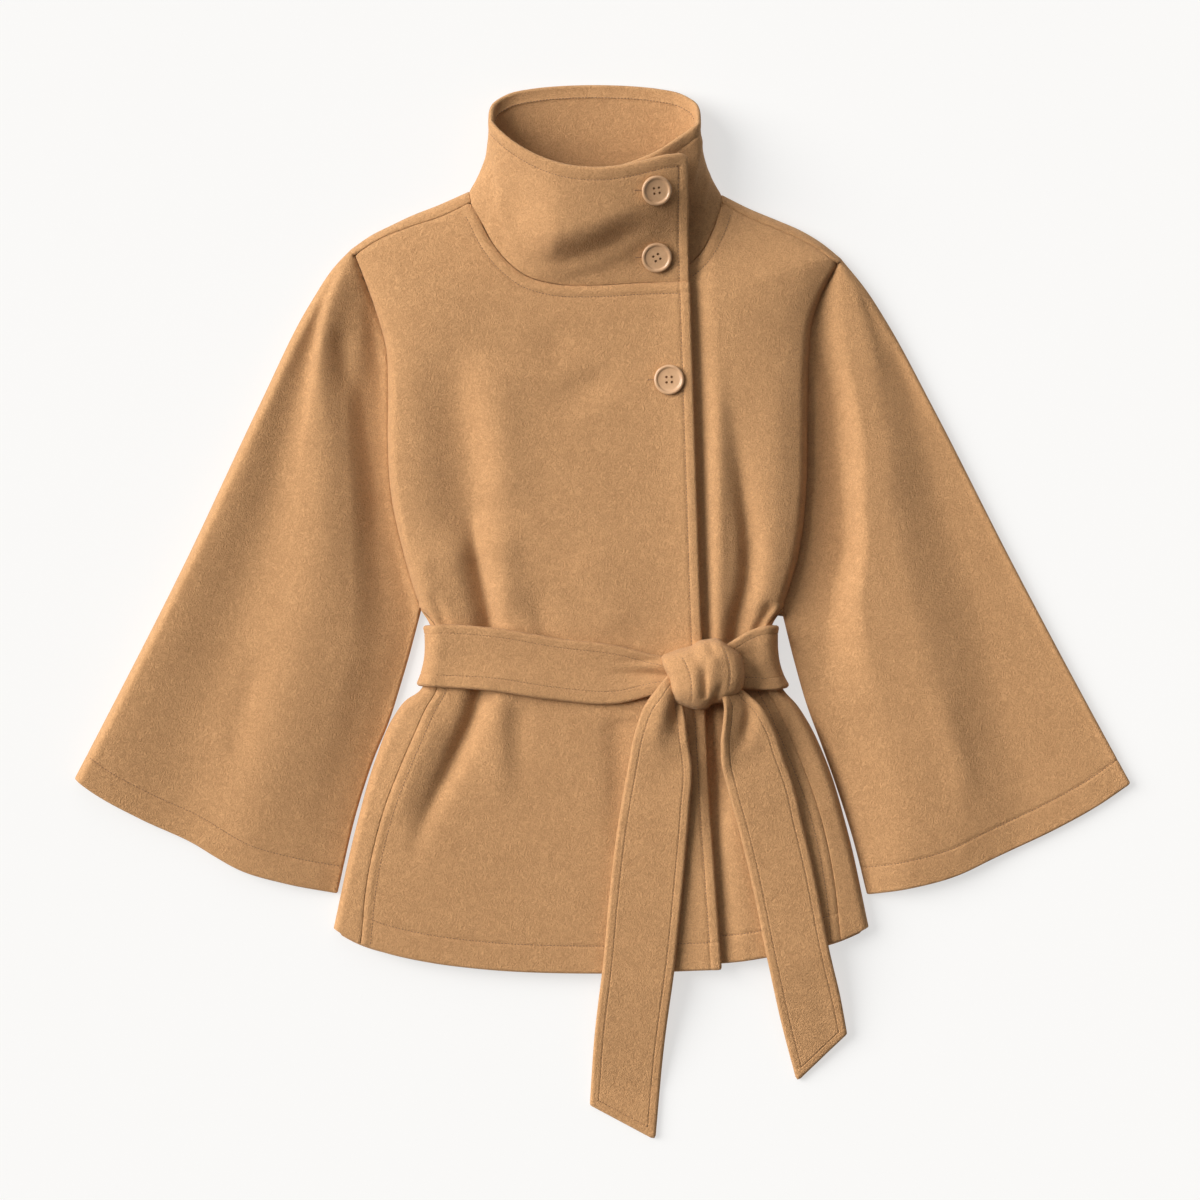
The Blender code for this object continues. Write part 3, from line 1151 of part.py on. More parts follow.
def button(name, row, seat):
    """A four-hole button, laid flat against the cloth under it."""
    rim = BUTTON_RADIUS - BUTTON_BACK_INSET
    around = np.array(rings_round((row.x, row.y), (rim / 2, rim), 16))
    heights = np.array([seat.height(*place) for place in around])
    offsets = around - (row.x, row.y)
    slope = np.linalg.lstsq(np.column_stack([offsets, np.ones(len(around))]), heights, rcond=None)[0]
    level = (heights - offsets @ slope[:2]).max() + BUTTON_SEAT
    normal = Vector((-slope[0], -slope[1], 1.0)).normalized()
    part = new_object(name, turned(name, BUTTON_SECTION), HORN, HORN_ROUGHNESS)
    tilt = normal.to_track_quat("Z", "Y").to_matrix().to_4x4()
    part.matrix_world = (Matrix.Translation(Vector((row.x, row.y, level)) * MM) @ tilt
                         @ Matrix.Rotation(math.radians(row.turn), 4, "Z"))
    cutter = bpy.data.objects.new(name + "_holes", hole_cutter(name + "_holes"))
    bpy.context.scene.collection.objects.link(cutter)
    cutter.matrix_world = part.matrix_world
    cutter.hide_render = True
    cutter.display_type = "WIRE"
    holes = part.modifiers.new("holes", "BOOLEAN")
    holes.operation = "DIFFERENCE"
    holes.solver = "EXACT"
    holes.object = cutter


def main():
    """Build every piece, each on the ones that carry it."""
    for item in list(bpy.data.objects):
        bpy.data.objects.remove(item)
    jacket = Jacket()
    back = back_panel(jacket)
    fronts = (front_panel(jacket, "right_front", "right", jacket.front_edge),
              front_panel(jacket, "left_front", "left", jacket.underlap_edge))
    for side in ("right", "left"):
        sleeve_front(jacket, side + "_sleeve_front", side)
        sleeve_back(jacket, side + "_sleeve_back", side)
    flap = collar(jacket)
    seat = Seat(*fronts)
    waist = belt_waist(jacket, seat, Seat(back, *fronts))
    turn = Seat(waist)
    tails = [belt_tail("belt_tail_" + side, side, seat, turn) for side in ("right", "left")]
    belt_knot(Seat(waist, *tails, *fronts))
    for name, row in zip(BUTTON_NAMES, BUTTONS):
        button(name, row, Seat(flap, *fronts))


main()
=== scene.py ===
"""Looks of a belted wrap jacket in camel wool, laid flat with its front up.

Lines and sizes are in millimetres in the frame's own axes: +X to the right and
+Y towards the collar in the view from above, and +Z up from the table.
"""
from __future__ import annotations

import logging
import math
from dataclasses import dataclass, field
from enum import Enum
from pathlib import Path
from typing import NamedTuple, Sequence

import bmesh
import bpy
import numpy as np
from mathutils import Matrix, Vector
from mathutils.bvhtree import BVHTree

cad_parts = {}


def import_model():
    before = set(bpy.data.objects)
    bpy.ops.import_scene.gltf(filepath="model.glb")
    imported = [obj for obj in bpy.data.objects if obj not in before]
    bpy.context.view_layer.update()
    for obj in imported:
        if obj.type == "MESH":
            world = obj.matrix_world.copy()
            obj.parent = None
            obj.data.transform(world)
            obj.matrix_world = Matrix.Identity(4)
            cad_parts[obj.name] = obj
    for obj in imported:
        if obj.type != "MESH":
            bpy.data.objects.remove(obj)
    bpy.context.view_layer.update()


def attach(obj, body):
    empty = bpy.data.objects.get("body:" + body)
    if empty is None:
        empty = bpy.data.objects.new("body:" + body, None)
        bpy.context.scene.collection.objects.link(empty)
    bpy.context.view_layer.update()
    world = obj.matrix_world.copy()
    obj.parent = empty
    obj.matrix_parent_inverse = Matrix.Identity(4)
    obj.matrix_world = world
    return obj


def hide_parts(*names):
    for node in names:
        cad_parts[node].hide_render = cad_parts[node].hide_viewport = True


Array = np.ndarray
MM = 0.001

# Cloth
CLOTH = 2.5                 # one layer of coat wool
HEM_CLOTH = 4.2             # where the cloth is turned back on itself
BELT_CLOTH = 5.0            # the belt's two layers
COLLAR_CLOTH = 4.8
SEAM_GAP = 1.0              # from a seam to where the cloth's edge rounds into it
LAY = 0.5                   # air between a piece and what it lies on
STITCH_PITCH = 2.9
HEM_DEPTH = 25.0            # from a hem to its line of stitches
EDGE_STITCH = 9.5           # from a free edge to its line of stitches
NECK_STITCH = 10.0
SIDE_STITCH = 8.0
RIM_STITCH = 11.4           # from the collar's rim to its line of stitches
SEAM_DIP = 0.5              # how far a seam pulls the cloth down
BELT_MIDDLE = -40.0

log = logging.getLogger("jacket")


def ease(value: Array) -> Array:
    """Smooth step from 0 to 1."""
    value = np.clip(value, 0, 1)
    return value * value * (3 - 2 * value)


def swell(value: Array) -> Array:
    """Quick rise from 0 that flattens out at 1."""
    return 1 - (1 - np.clip(value, 0, 1)) ** 2


def quarter(value: Array) -> Array:
    """Height of a quarter circle at this share of its radius."""
    return np.sqrt(1 - (1 - np.clip(value, 0, 1)) ** 2)


def bell(distance: Array, width: Array | float) -> Array:
    """Bell curve that is 1 at no distance."""
    return np.exp(-(distance / width) ** 2)


def smooth_line(knots: Array, per_span: int = 10) -> Array:
    """Points on a smooth line through the knots.

    Args:
        knots: points in plan or in space, one a row.
        per_span: points for each stretch between two knots.

    Returns:
        The points, with every knot among them.
    """
    knots = np.asarray(knots, dtype=float)
    steps = np.diff(knots, axis=0)
    spans = np.linalg.norm(steps, axis=1)[:, None]
    slopes = steps / np.maximum(spans, 1e-6)
    tangents = np.empty_like(knots)
    tangents[0], tangents[-1] = slopes[0], slopes[-1]
    both = np.maximum(spans[:-1] + spans[1:], 1e-6)
    tangents[1:-1] = (spans[1:] * slopes[:-1] + spans[:-1] * slopes[1:]) / both
    part = np.linspace(0, 1, per_span + 1)[:-1, None]
    square, cube = part ** 2, part ** 3
    pieces = [(2 * cube - 3 * square + 1) * knots[index]
              + (cube - 2 * square + part) * span * tangents[index]
              + (3 * square - 2 * cube) * knots[index + 1]
              + (cube - square) * span * tangents[index + 1] for index, span in enumerate(spans)]
    return np.concatenate(pieces + [knots[-1:]])


class Line:
    """A line in plan or in space that is read by its share of length."""

    def __init__(self, points: Array) -> None:
        """Keep the points and the share of the length at each."""
        self.points = np.asarray(points, dtype=float)
        steps = np.linalg.norm(np.diff(self.points, axis=0), axis=1)
        self.length = float(steps.sum())
        self.share = np.concatenate([[0.0], np.cumsum(steps)]) / self.length

    @classmethod
    def through(cls, knots: Sequence[Sequence[float]], per_span: int = 10) -> Line:
        """The smooth line through the knots."""
        return cls(smooth_line(np.asarray(knots, dtype=float), per_span))

    def at(self, share: Array | float) -> Array:
        """Points at these shares of the length."""
        return np.stack([np.interp(share, self.share, axis) for axis in self.points.T], -1)

    def shifted(self, distance: Array | float) -> Line:
        """The line moved to the left of its direction, or to the right where negative."""
        along = np.gradient(self.points[:, :2], axis=0)
        along /= np.linalg.norm(along, axis=1)[:, None]
        sideways = np.stack([-along[:, 1], along[:, 0]], -1)
        return Line(self.points[:, :2] + sideways * np.asarray(distance).reshape(-1, 1))

    def x_at(self, y: Array | float) -> Array:
        """The line's x where it passes this y."""
        order = np.argsort(self.points[:, 1])
        return np.interp(y, self.points[order, 1], self.points[order, 0])

    def near(self, plan: Array) -> tuple[Array, Array, Array]:
        """Where points in plan lie beside the line.

        Args:
            plan: points in plan, in an array of any shape.

        Returns:
            The distance to the line, the share of its length at the nearest
            place, and the side: 1 to the left of its direction, else -1.
        """
        flat = plan.reshape(-1, 2)
        starts = self.points[:-1, :2]
        run = self.points[1:, :2] - starts
        size = (run ** 2).sum(1)
        gaps, shares, sides = [], [], []
        for chunk in np.array_split(flat, max(1, len(flat) // 20000)):
            offset = chunk[:, None] - starts
            part = np.clip((offset * run).sum(2) / size, 0, 1)
            rest = offset - part[..., None] * run
            gap = (rest ** 2).sum(2)
            best = gap.argmin(1)
            row = np.arange(len(chunk))
            gaps.append(np.sqrt(gap[row, best]))
            shares.append(self.share[best] + part[row, best] * (self.share[best + 1] - self.share[best]))
            turn = run[best, 0] * rest[row, best, 1] - run[best, 1] * rest[row, best, 0]
            sides.append(np.where(turn < 0, -1.0, 1.0))
        shape = plan.shape[:-1]
        return tuple(np.concatenate(part).reshape(shape) for part in (gaps, shares, sides))

    def gap(self, plan: Array) -> Array:
        """Distance from points in plan to the line."""
        return self.near(plan)[0]


def least_gap(lines: Sequence[Line], plan: Array) -> Array:
    """Distance from points in plan to the nearest of several lines."""
    return np.min([line.gap(plan) for line in lines], axis=0)


class Fold(NamedTuple):
    """A soft ridge, or a trough where its height is negative, along a line in plan."""

    knots: tuple[tuple[float, float], ...]
    height: float
    left: float                                  # half-width to the left of its direction
    right: float                                 # half-width to the right
    start: float = 0.25                          # share of its length over which it comes
    end: float = 0.25                            # and over which it goes
    sharp: float = 0.0                           # from 0, a soft roll, to 1, a crease

    def raise_by(self, plan: Array) -> Array:
        """How far the fold raises the cloth at points in plan."""
        gap, share, side = Line.through(self.knots, 6).near(plan)
        rise = ease(share / self.start) if self.start else np.ones_like(share)
        if self.end:
            rise = rise * ease((1 - share) / self.end)
        width = np.where(side > 0, self.left, self.right)
        crease = np.exp(-np.sqrt((1.5 * gap / width) ** 2 + 0.04) + 0.2)
        return self.height * rise * ((1 - self.sharp) * bell(gap, width) + self.sharp * crease)


def folded(folds: Sequence[Fold], plan: Array) -> Array:
    """Sum of several folds at points in plan."""
    return sum((fold.raise_by(plan) for fold in folds), np.zeros(plan.shape[:-1]))


class Side(Enum):
    """The wearer's side; the wearer's right is at -X."""

    RIGHT = "right"
    LEFT = "left"

    @property
    def inward(self) -> int:
        """1 where the jacket's middle lies towards +X, and -1 where it lies towards -X."""
        return 1 if self is Side.RIGHT else -1


Knots = Sequence[tuple[float, float]]

SHOULDER_SEAM: dict[Side, Knots] = {
    Side.RIGHT: ((-222, 320.5), (-212.5, 328), (-199, 336), (-171, 347), (-144, 356), (-119, 368)),
    Side.LEFT: ((210.5, 313), (196, 325), (179, 334.5), (156, 344.5), (135, 353), (107.5, 367.5)),
}
SHOULDER_FOLD: dict[Side, Knots] = {
    Side.RIGHT: ((-226, 326.5), (-208, 339), (-190, 348), (-171, 357), (-148, 366), (-121, 378)),
    Side.LEFT: ((214, 318.5), (196.5, 332.5), (179, 343), (156, 353), (133, 362.5), (108, 375)),
}
ARMHOLE_EDGE: dict[Side, Knots] = {
    Side.RIGHT: ((-222, 320.5), (-214, 300), (-202, 266), (-194.5, 238), (-192.7, 200), (-193, 150),
                 (-190.5, 110), (-180, 58), (-169, 20), (-163, 2)),
    Side.LEFT: ((210.5, 313), (200, 293), (188.5, 262), (185, 226), (184.3, 173), (183, 110), (175, 47),
                (166.5, 19), (161, 2)),
}
BODY_SIDE: dict[Side, Knots] = {
    Side.RIGHT: ((-163, 2), (-155, -11), (-153, -28), (-156, -52), (-164, -70), (-177, -79), (-188, -94),
                 (-204, -132), (-222, -195), (-242, -285)),
    Side.LEFT: ((161, 2), (152.5, -11), (151, -28), (155, -54), (163, -70), (174, -82), (184.5, -98),
                (200.5, -132), (220, -195), (239.5, -283.5)),
}
SIDE_SEAM: dict[Side, Knots] = {
    Side.RIGHT: ((-163, 2), (-150.5, -12), (-145, -32), (-146, -58), (-150, -72), (-158, -85),
                 (-167.5, -106), (-178, -130), (-196, -177), (-211, -240), (-217, -298)),
    Side.LEFT: ((161, 2), (148.5, -12), (143, -32), (144, -58), (148.5, -72), (157, -86), (166, -106),
                (176.5, -130), (194, -177), (208, -240), (214, -295)),
}
NECK_SEAM: dict[Side, Knots] = {
    Side.RIGHT: ((-119, 368), (-113.5, 359), (-102, 336), (-85.5, 314.5), (-68, 301), (-44.5, 294),
                 (-9.5, 292.5), (39, 295), (78.3, 295.6)),
    Side.LEFT: ((107.5, 367.5), (99, 342), (87.5, 321.5), (78, 312), (51.5, 299), (-2, 292), (-50, 293.5)),
}
NECK_BACK: Knots = ((-119.5, 372.3), (-108, 368), (-62, 364.5), (-6, 363), (50, 364), (96, 367.5), (107, 370))
HEM: dict[Side, Knots] = {
    Side.RIGHT: ((-217, -298), (-199, -304.5), (-155, -314.5), (-112, -320), (-4, -324.3), (107, -320.8)),
    Side.LEFT: ((214, -295), (190, -301.5), (147, -310), (125, -313.5), (0, -318), (-96, -318)),
}
HEM_BACK: Knots = ((-242, -285), (-220, -297), (-177, -309), (-112, -316), (-4, -319), (100, -315),
                   (147, -308), (212, -295.5), (239.5, -283.5))
FRONT_EDGE: Knots = ((107, -320.8), (95.3, -150), (89, -23), (83, 154), (78.3, 295.6))
UNDERLAP_EDGE: Knots = ((-96, -318), (-82, 0), (-50, 293.5))
SLEEVE_OUTER: dict[Side, Knots] = {
    Side.RIGHT: ((-226, 326.5), (-240, 312), (-263, 277.5), (-308, 187.5), (-376, 43.5), (-449, -100),
                 (-475, -150)),
    Side.LEFT: ((214, 318.5), (237, 290), (256.5, 259.5), (295.5, 187.5), (369, 43.5), (445.5, -100),
                (475, -154)),
}
SLEEVE_RIDGE: dict[Side, Knots] = {
    Side.RIGHT: ((-222, 320.5), (-236, 300), (-245, 282), (-252.5, 250), (-261.5, 199.5), (-270.5, 137),
                 (-293, 35.5), (-316, -78.5), (-336, -168), (-348, -220)),
    Side.LEFT: ((210.5, 313), (222, 298), (231, 280), (243.5, 240), (258, 167), (269.5, 125), (289.5, 20),
                (312, -78.5), (343, -186), (353, -221)),
}
SLEEVE_INNER: dict[Side, Knots] = {
    Side.RIGHT: ((-163, 2), (-175, -43), (-183, -70), (-190.5, -94), (-207, -135), (-220.5, -177),
                 (-238.5, -253)),
    Side.LEFT: ((161, 2), (173, -46), (184, -84), (195.5, -115), (211.5, -160), (225.5, -204.5), (238, -254)),
}
SLEEVE_HEM: dict[Side, Knots] = {
    Side.RIGHT: ((-475, -150), (-457, -163), (-414, -186.5), (-366, -209), (-348, -220), (-328, -231),
                 (-285, -244), (-238.5, -253)),
    Side.LEFT: ((475, -154), (449, -172), (406, -196), (370, -213), (353, -221), (319, -237),
                (276, -248.5), (238, -254)),
}

BODY_FOLDS: tuple[Fold, ...] = (
    # the long fold from the wearer's right chest into the belt, and the lobes beside it
    Fold(((-133, 270), (-131, 191), (-122, 146), (-120, 101), (-113, 50)), -11.5, 20, 32, 0.5, 0.2),
    Fold(((-120, 101), (-114, 56), (-107, 20), (-102, -4), (-101, -24)), -15.0, 10, 14, 0.5, 0, 0.6),
    Fold(((-170, 60), (-160, 30), (-148, 4), (-140, -14)), 3.0, 11, 11, 0.3, 0),
    Fold(((-156, 22), (-146, 4), (-140, -14)), -3.2, 5, 5, 0.4, 0),
    Fold(((-88, 80), (-86, 40), (-86, -10)), 2.5, 13, 13),
    Fold(((-66, 28), (-56, 4), (-52, -22)), -2.2, 13, 10, 0.5, 0),
    Fold(((-25, 60), (0, 20), (20, -25)), 2.0, 22, 22),
    # from the belt down the skirt
    Fold(((-108, -66), (-116, -92), (-134, -133), (-161, -190), (-177, -245)), -11.5, 11, 9, 0, 0.85, 0.4),
    Fold(((-144, -84), (-166, -130), (-190, -195)), 3.0, 12, 12),
    Fold(((-92, -76), (-90, -120), (-96, -190)), 3.0, 14, 16, 0, 0.6),
    Fold(((-75, -76), (-78, -130), (-72, -170)), -2.5, 12, 12, 0.2, 0.6),
    Fold(((12, -90), (16, -160), (12, -240)), -3.0, 14, 12, 0.1, 0.6),
    # pulls from the lower button and the neck
    Fold(((-60, 178), (-20, 198), (26, 222)), -2.6, 14, 14, 0.5, 0.4),
    Fold(((-48, 264), (-40, 236), (-26, 214)), -1.6, 15, 15, 0.4, 0.5),
    Fold(((-88, 240), (-92, 150), (-80, 90)), 3.0, 22, 26),
    # the wearer's left chest
    Fold(((104, 240), (104, 160), (104, 80), (102, -22)), 3.0, 8, 8, 0.3, 0),
    Fold(((116, 200), (121, 146), (126, 100), (130, 56), (127.5, 20), (120.5, -8), (118, -26)),
         -11.0, 12, 7.5, 0.7, 0, 0.4),
    Fold(((146, 260), (154, 190), (156, 100), (152, 50), (142, 15), (130, -10)), 2.0, 15, 17, 0.4, 0.1),
    Fold(((152, 14), (147, -2), (140, -16)), -6.0, 7, 6, 0.4, 0, 0.3),
    Fold(((141, -73), (162, -110), (180, -150), (193, -205)), -4.5, 12, 14, 0, 0.6),
    Fold(((117, -78), (112, -120), (104, -170), (100, -240)), -6.0, 10, 14, 0, 0.5),
)
SLOT: tuple[tuple[float, float], ...] = ((-325, 0.6), (-150, 1.4), (-60, 2.8), (20, 3.6), (110, 2.6), (250, 2.2),
                                         (300, 0.8))


class Profile:
    """Named heights that change smoothly along the jacket."""

    def __init__(self, names: str, *rows: Sequence[float]) -> None:
        """Keep a smooth line for each name; the first column is the place, y."""
        table = np.array(rows, dtype=float)
        self.lines = {name: smooth_line(table[:, [0, column]])
                      for column, name in enumerate(names.split(), start=1)}

    def read(self, name: str, y: Array | float) -> Array:
        """The named height at this y."""
        line = self.lines[name]
        return np.interp(y, line[:, 0], line[:, 1])


class Sections:
    """Cross-sections of a piece: at each place y, the height of the cloth at several places x."""

    def __init__(self, *rows: Sequence) -> None:
        """Keep a smooth line for each column; a row is y and then pairs of x and height."""
        rows = sorted(rows, key=lambda row: row[0])
        places = np.array([row[0] for row in rows], dtype=float)
        knots = np.array([row[1:] for row in rows], dtype=float)
        self.columns = [smooth_line(np.column_stack([places, knots[:, column]]), 6)
                        for column in range(knots.shape[1])]

    def height(self, plan: Array) -> Array:
        """Height at points in plan: smooth across, level at each crest and trough."""
        y = plan[..., 1].ravel()
        table = np.stack([[np.interp(y, line[:, 0], line[:, axis]) for line in self.columns] for axis in (1, 2)])
        across, height = table
        spans = np.maximum(np.diff(across, axis=0), 0.1)
        rises = np.diff(height, axis=0) / spans
        slopes = np.zeros_like(height)
        same = rises[:-1] * rises[1:] > 0
        total = np.where(same, rises[:-1] + rises[1:], 1.0)
        slopes[1:-1] = np.where(same, 2 * rises[:-1] * rises[1:] / total, 0.0)
        x = np.clip(plan[..., 0].ravel(), across[0], across[-1])
        index = np.clip((x > across).sum(0) - 1, 0, len(self.columns) - 2)
        column = np.arange(len(x))
        span, low, high = spans[index, column], height[index, column], height[index + 1, column]
        part = (x - across[index, column]) / span
        square, cube = part ** 2, part ** 3
        value = ((2 * cube - 3 * square + 1) * low + (cube - 2 * square + part) * span * slopes[index, column]
                 + (3 * square - 2 * cube) * high + (cube - square) * span * slopes[index + 1, column])
        return value.reshape(plan.shape[:-1])


BODY_PROFILE = Profile(
    "edge crown low roll",
    (-325, 11.0, 14.0, 5.5, 5.5),
    (-200, 17.0, 23.0, 7.0, 7.0),
    (-95, 20.5, 27.5, 9.0, 8.0),
    (-40, 20.5, 27.5, 11.5, 8.0),
    (2, 22.0, 30.0, 9.6, 8.0),
    (110, 23.5, 32.0, 7.6, 8.0),
    (220, 21.0, 32.0, 8.4, 8.0),
    (295, 15.0, 30.0, 10.0, 5.0),
    (322, 12.0, 26.0, 11.8, 3.0),
    (380, 11.5, 22.0, 11.8, 3.0))
SLEEVE_EDGE = Profile("edge", (-256, 8.5), (-150, 9.0), (0, 9.5), (150, 10.0), (260, 11.0), (327, 11.8))

# From the outer fold: its roll, a valley, the long crest, two knots down its side, and the underarm.
RIGHT_SLEEVE_SECTIONS = Sections(
    (325, (-240, 12), (-234, 12), (-228, 12), (-224, 12), (-220, 11.8), (-214, 11.5)),
    (281, (-255, 15.5), (-250, 15), (-243, 18), (-229, 16.5), (-217, 13.5), (-208, 10.5)),
    (236, (-279, 17.5), (-263, 13), (-253, 18.8), (-231, 14), (-218, 12), (-202, 6)),
    (191, (-301, 19.5), (-274, 14), (-250, 21), (-231, 16.5), (-213, 7.5), (-197, 5.6)),
    (146, (-317, 21), (-285, 15), (-249, 23), (-230, 19), (-207, 6.5), (-193, 5.6)),
    (101, (-337, 23), (-294, 15.5), (-251, 24), (-227, 20), (-201, 6.5), (-188, 5.6)),
    (56, (-359, 24), (-305, 16), (-252, 24.5), (-227, 20.5), (-200, 8), (-180, 5.6)),
    (11, (-380, 24), (-321, 16), (-258, 24.5), (-225, 20.5), (-195, 9), (-171, 5.6)),
    (-34, (-402, 24), (-335, 16), (-270, 24), (-231, 20.5), (-198, 11), (-171, 5.5)),
    (-79, (-423, 22.5), (-351, 15.5), (-281, 23), (-242, 19), (-213, 11), (-186, 5.5)),
    (-124, (-443, 20), (-366, 14), (-292, 21.5), (-252, 17), (-225, 10.5), (-199, 5.5)),
    (-169, (-449, 15), (-375, 11), (-305, 18.5), (-267, 15), (-240, 10), (-212, 5.5)),
    (-214, (-454, 12), (-380, 9.4), (-317, 15), (-279, 12.5), (-252, 9), (-225, 5.5)),
    (-256, (-461, 10), (-380, 8.6), (-312, 12.5), (-281, 10.8), (-260, 8.4), (-238, 5.5)))
# From the body: the valley beside it, the crest, the start and the foot of its fall, the outer roll.
LEFT_SLEEVE_SECTIONS = Sections(
    (325, (205, 11.5), (212, 12), (218, 12.2), (224, 12.5), (230, 12.5), (236, 12.5)),
    (281, (190, 10), (198, 10), (216, 15), (228, 14), (239, 12), (250, 12)),
    (236, (183, 9), (196, 6.5), (221, 16), (234, 15.5), (261, 9.5), (270, 9)),
    (191, (183, 10), (207, 5.6), (229, 19), (243, 18.5), (279, 8.5), (291, 8)),
    (146, (183, 10), (210, 5.6), (237, 21), (253, 20.5), (295, 8.5), (313, 8)),
    (101, (182, 10), (214, 5.6), (237, 22), (253, 21.5), (307, 7.5), (336, 7)),
    (56, (178, 10), (214, 5.8), (239, 22.5), (261, 22), (322, 7.5), (358, 7)),
    (11, (167, 8), (203, 6.5), (235, 22.5), (271, 22), (340, 7.5), (381, 7)),
    (-34, (169, 8), (198, 8), (241, 22), (282, 21.5), (351, 7.5), (405, 7)),
    (-79, (185, 8), (199, 11), (253, 22), (291, 21.5), (361, 7.5), (426, 7)),
    (-124, (199, 7), (212, 11), (268, 21), (304, 20), (374, 7.5), (448, 7)),
    (-169, (214, 7), (226, 11), (279, 19), (315, 17.5), (387, 7.5), (451, 7)),
    (-214, (228, 6.5), (241, 10.5), (279, 16), (313, 14.5), (374, 7.8), (451, 7.5)),
    (-256, (237, 6), (250, 9.5), (272, 12.5), (299, 11.5), (349, 8.5), (451, 8)))
SLEEVE_SECTIONS = {Side.RIGHT: RIGHT_SLEEVE_SECTIONS, Side.LEFT: LEFT_SLEEVE_SECTIONS}
SLEEVE_FOLDS: dict[Side, tuple[Fold, ...]] = {
    Side.RIGHT: (
        # the crisp edge that runs down from the shoulder point
        Fold(((-224, 318), (-236, 300), (-245, 282), (-252.5, 250), (-261, 200), (-268, 150), (-276, 100)),
             3.6, 15, 2.6, 0.12, 0.55),
        Fold(((-236, 262), (-232, 225), (-228, 190)), -2.5, 8, 8, 0.3, 0.4),
        Fold(((-300, -20), (-322, -90), (-338, -160)), -2.0, 14, 12, 0.3, 0.3),
    ),
    Side.LEFT: (
        Fold(((222, 300), (234, 270), (246, 230), (256, 190)), 1.6, 3.5, 12, 0.2, 0.5),
        Fold(((256, 250), (274, 210), (292, 165)), -1.6, 8, 8, 0.3, 0.4),
        Fold(((300, -60), (318, -120), (332, -180)), 1.8, 12, 12, 0.3, 0.3),
    ),
}


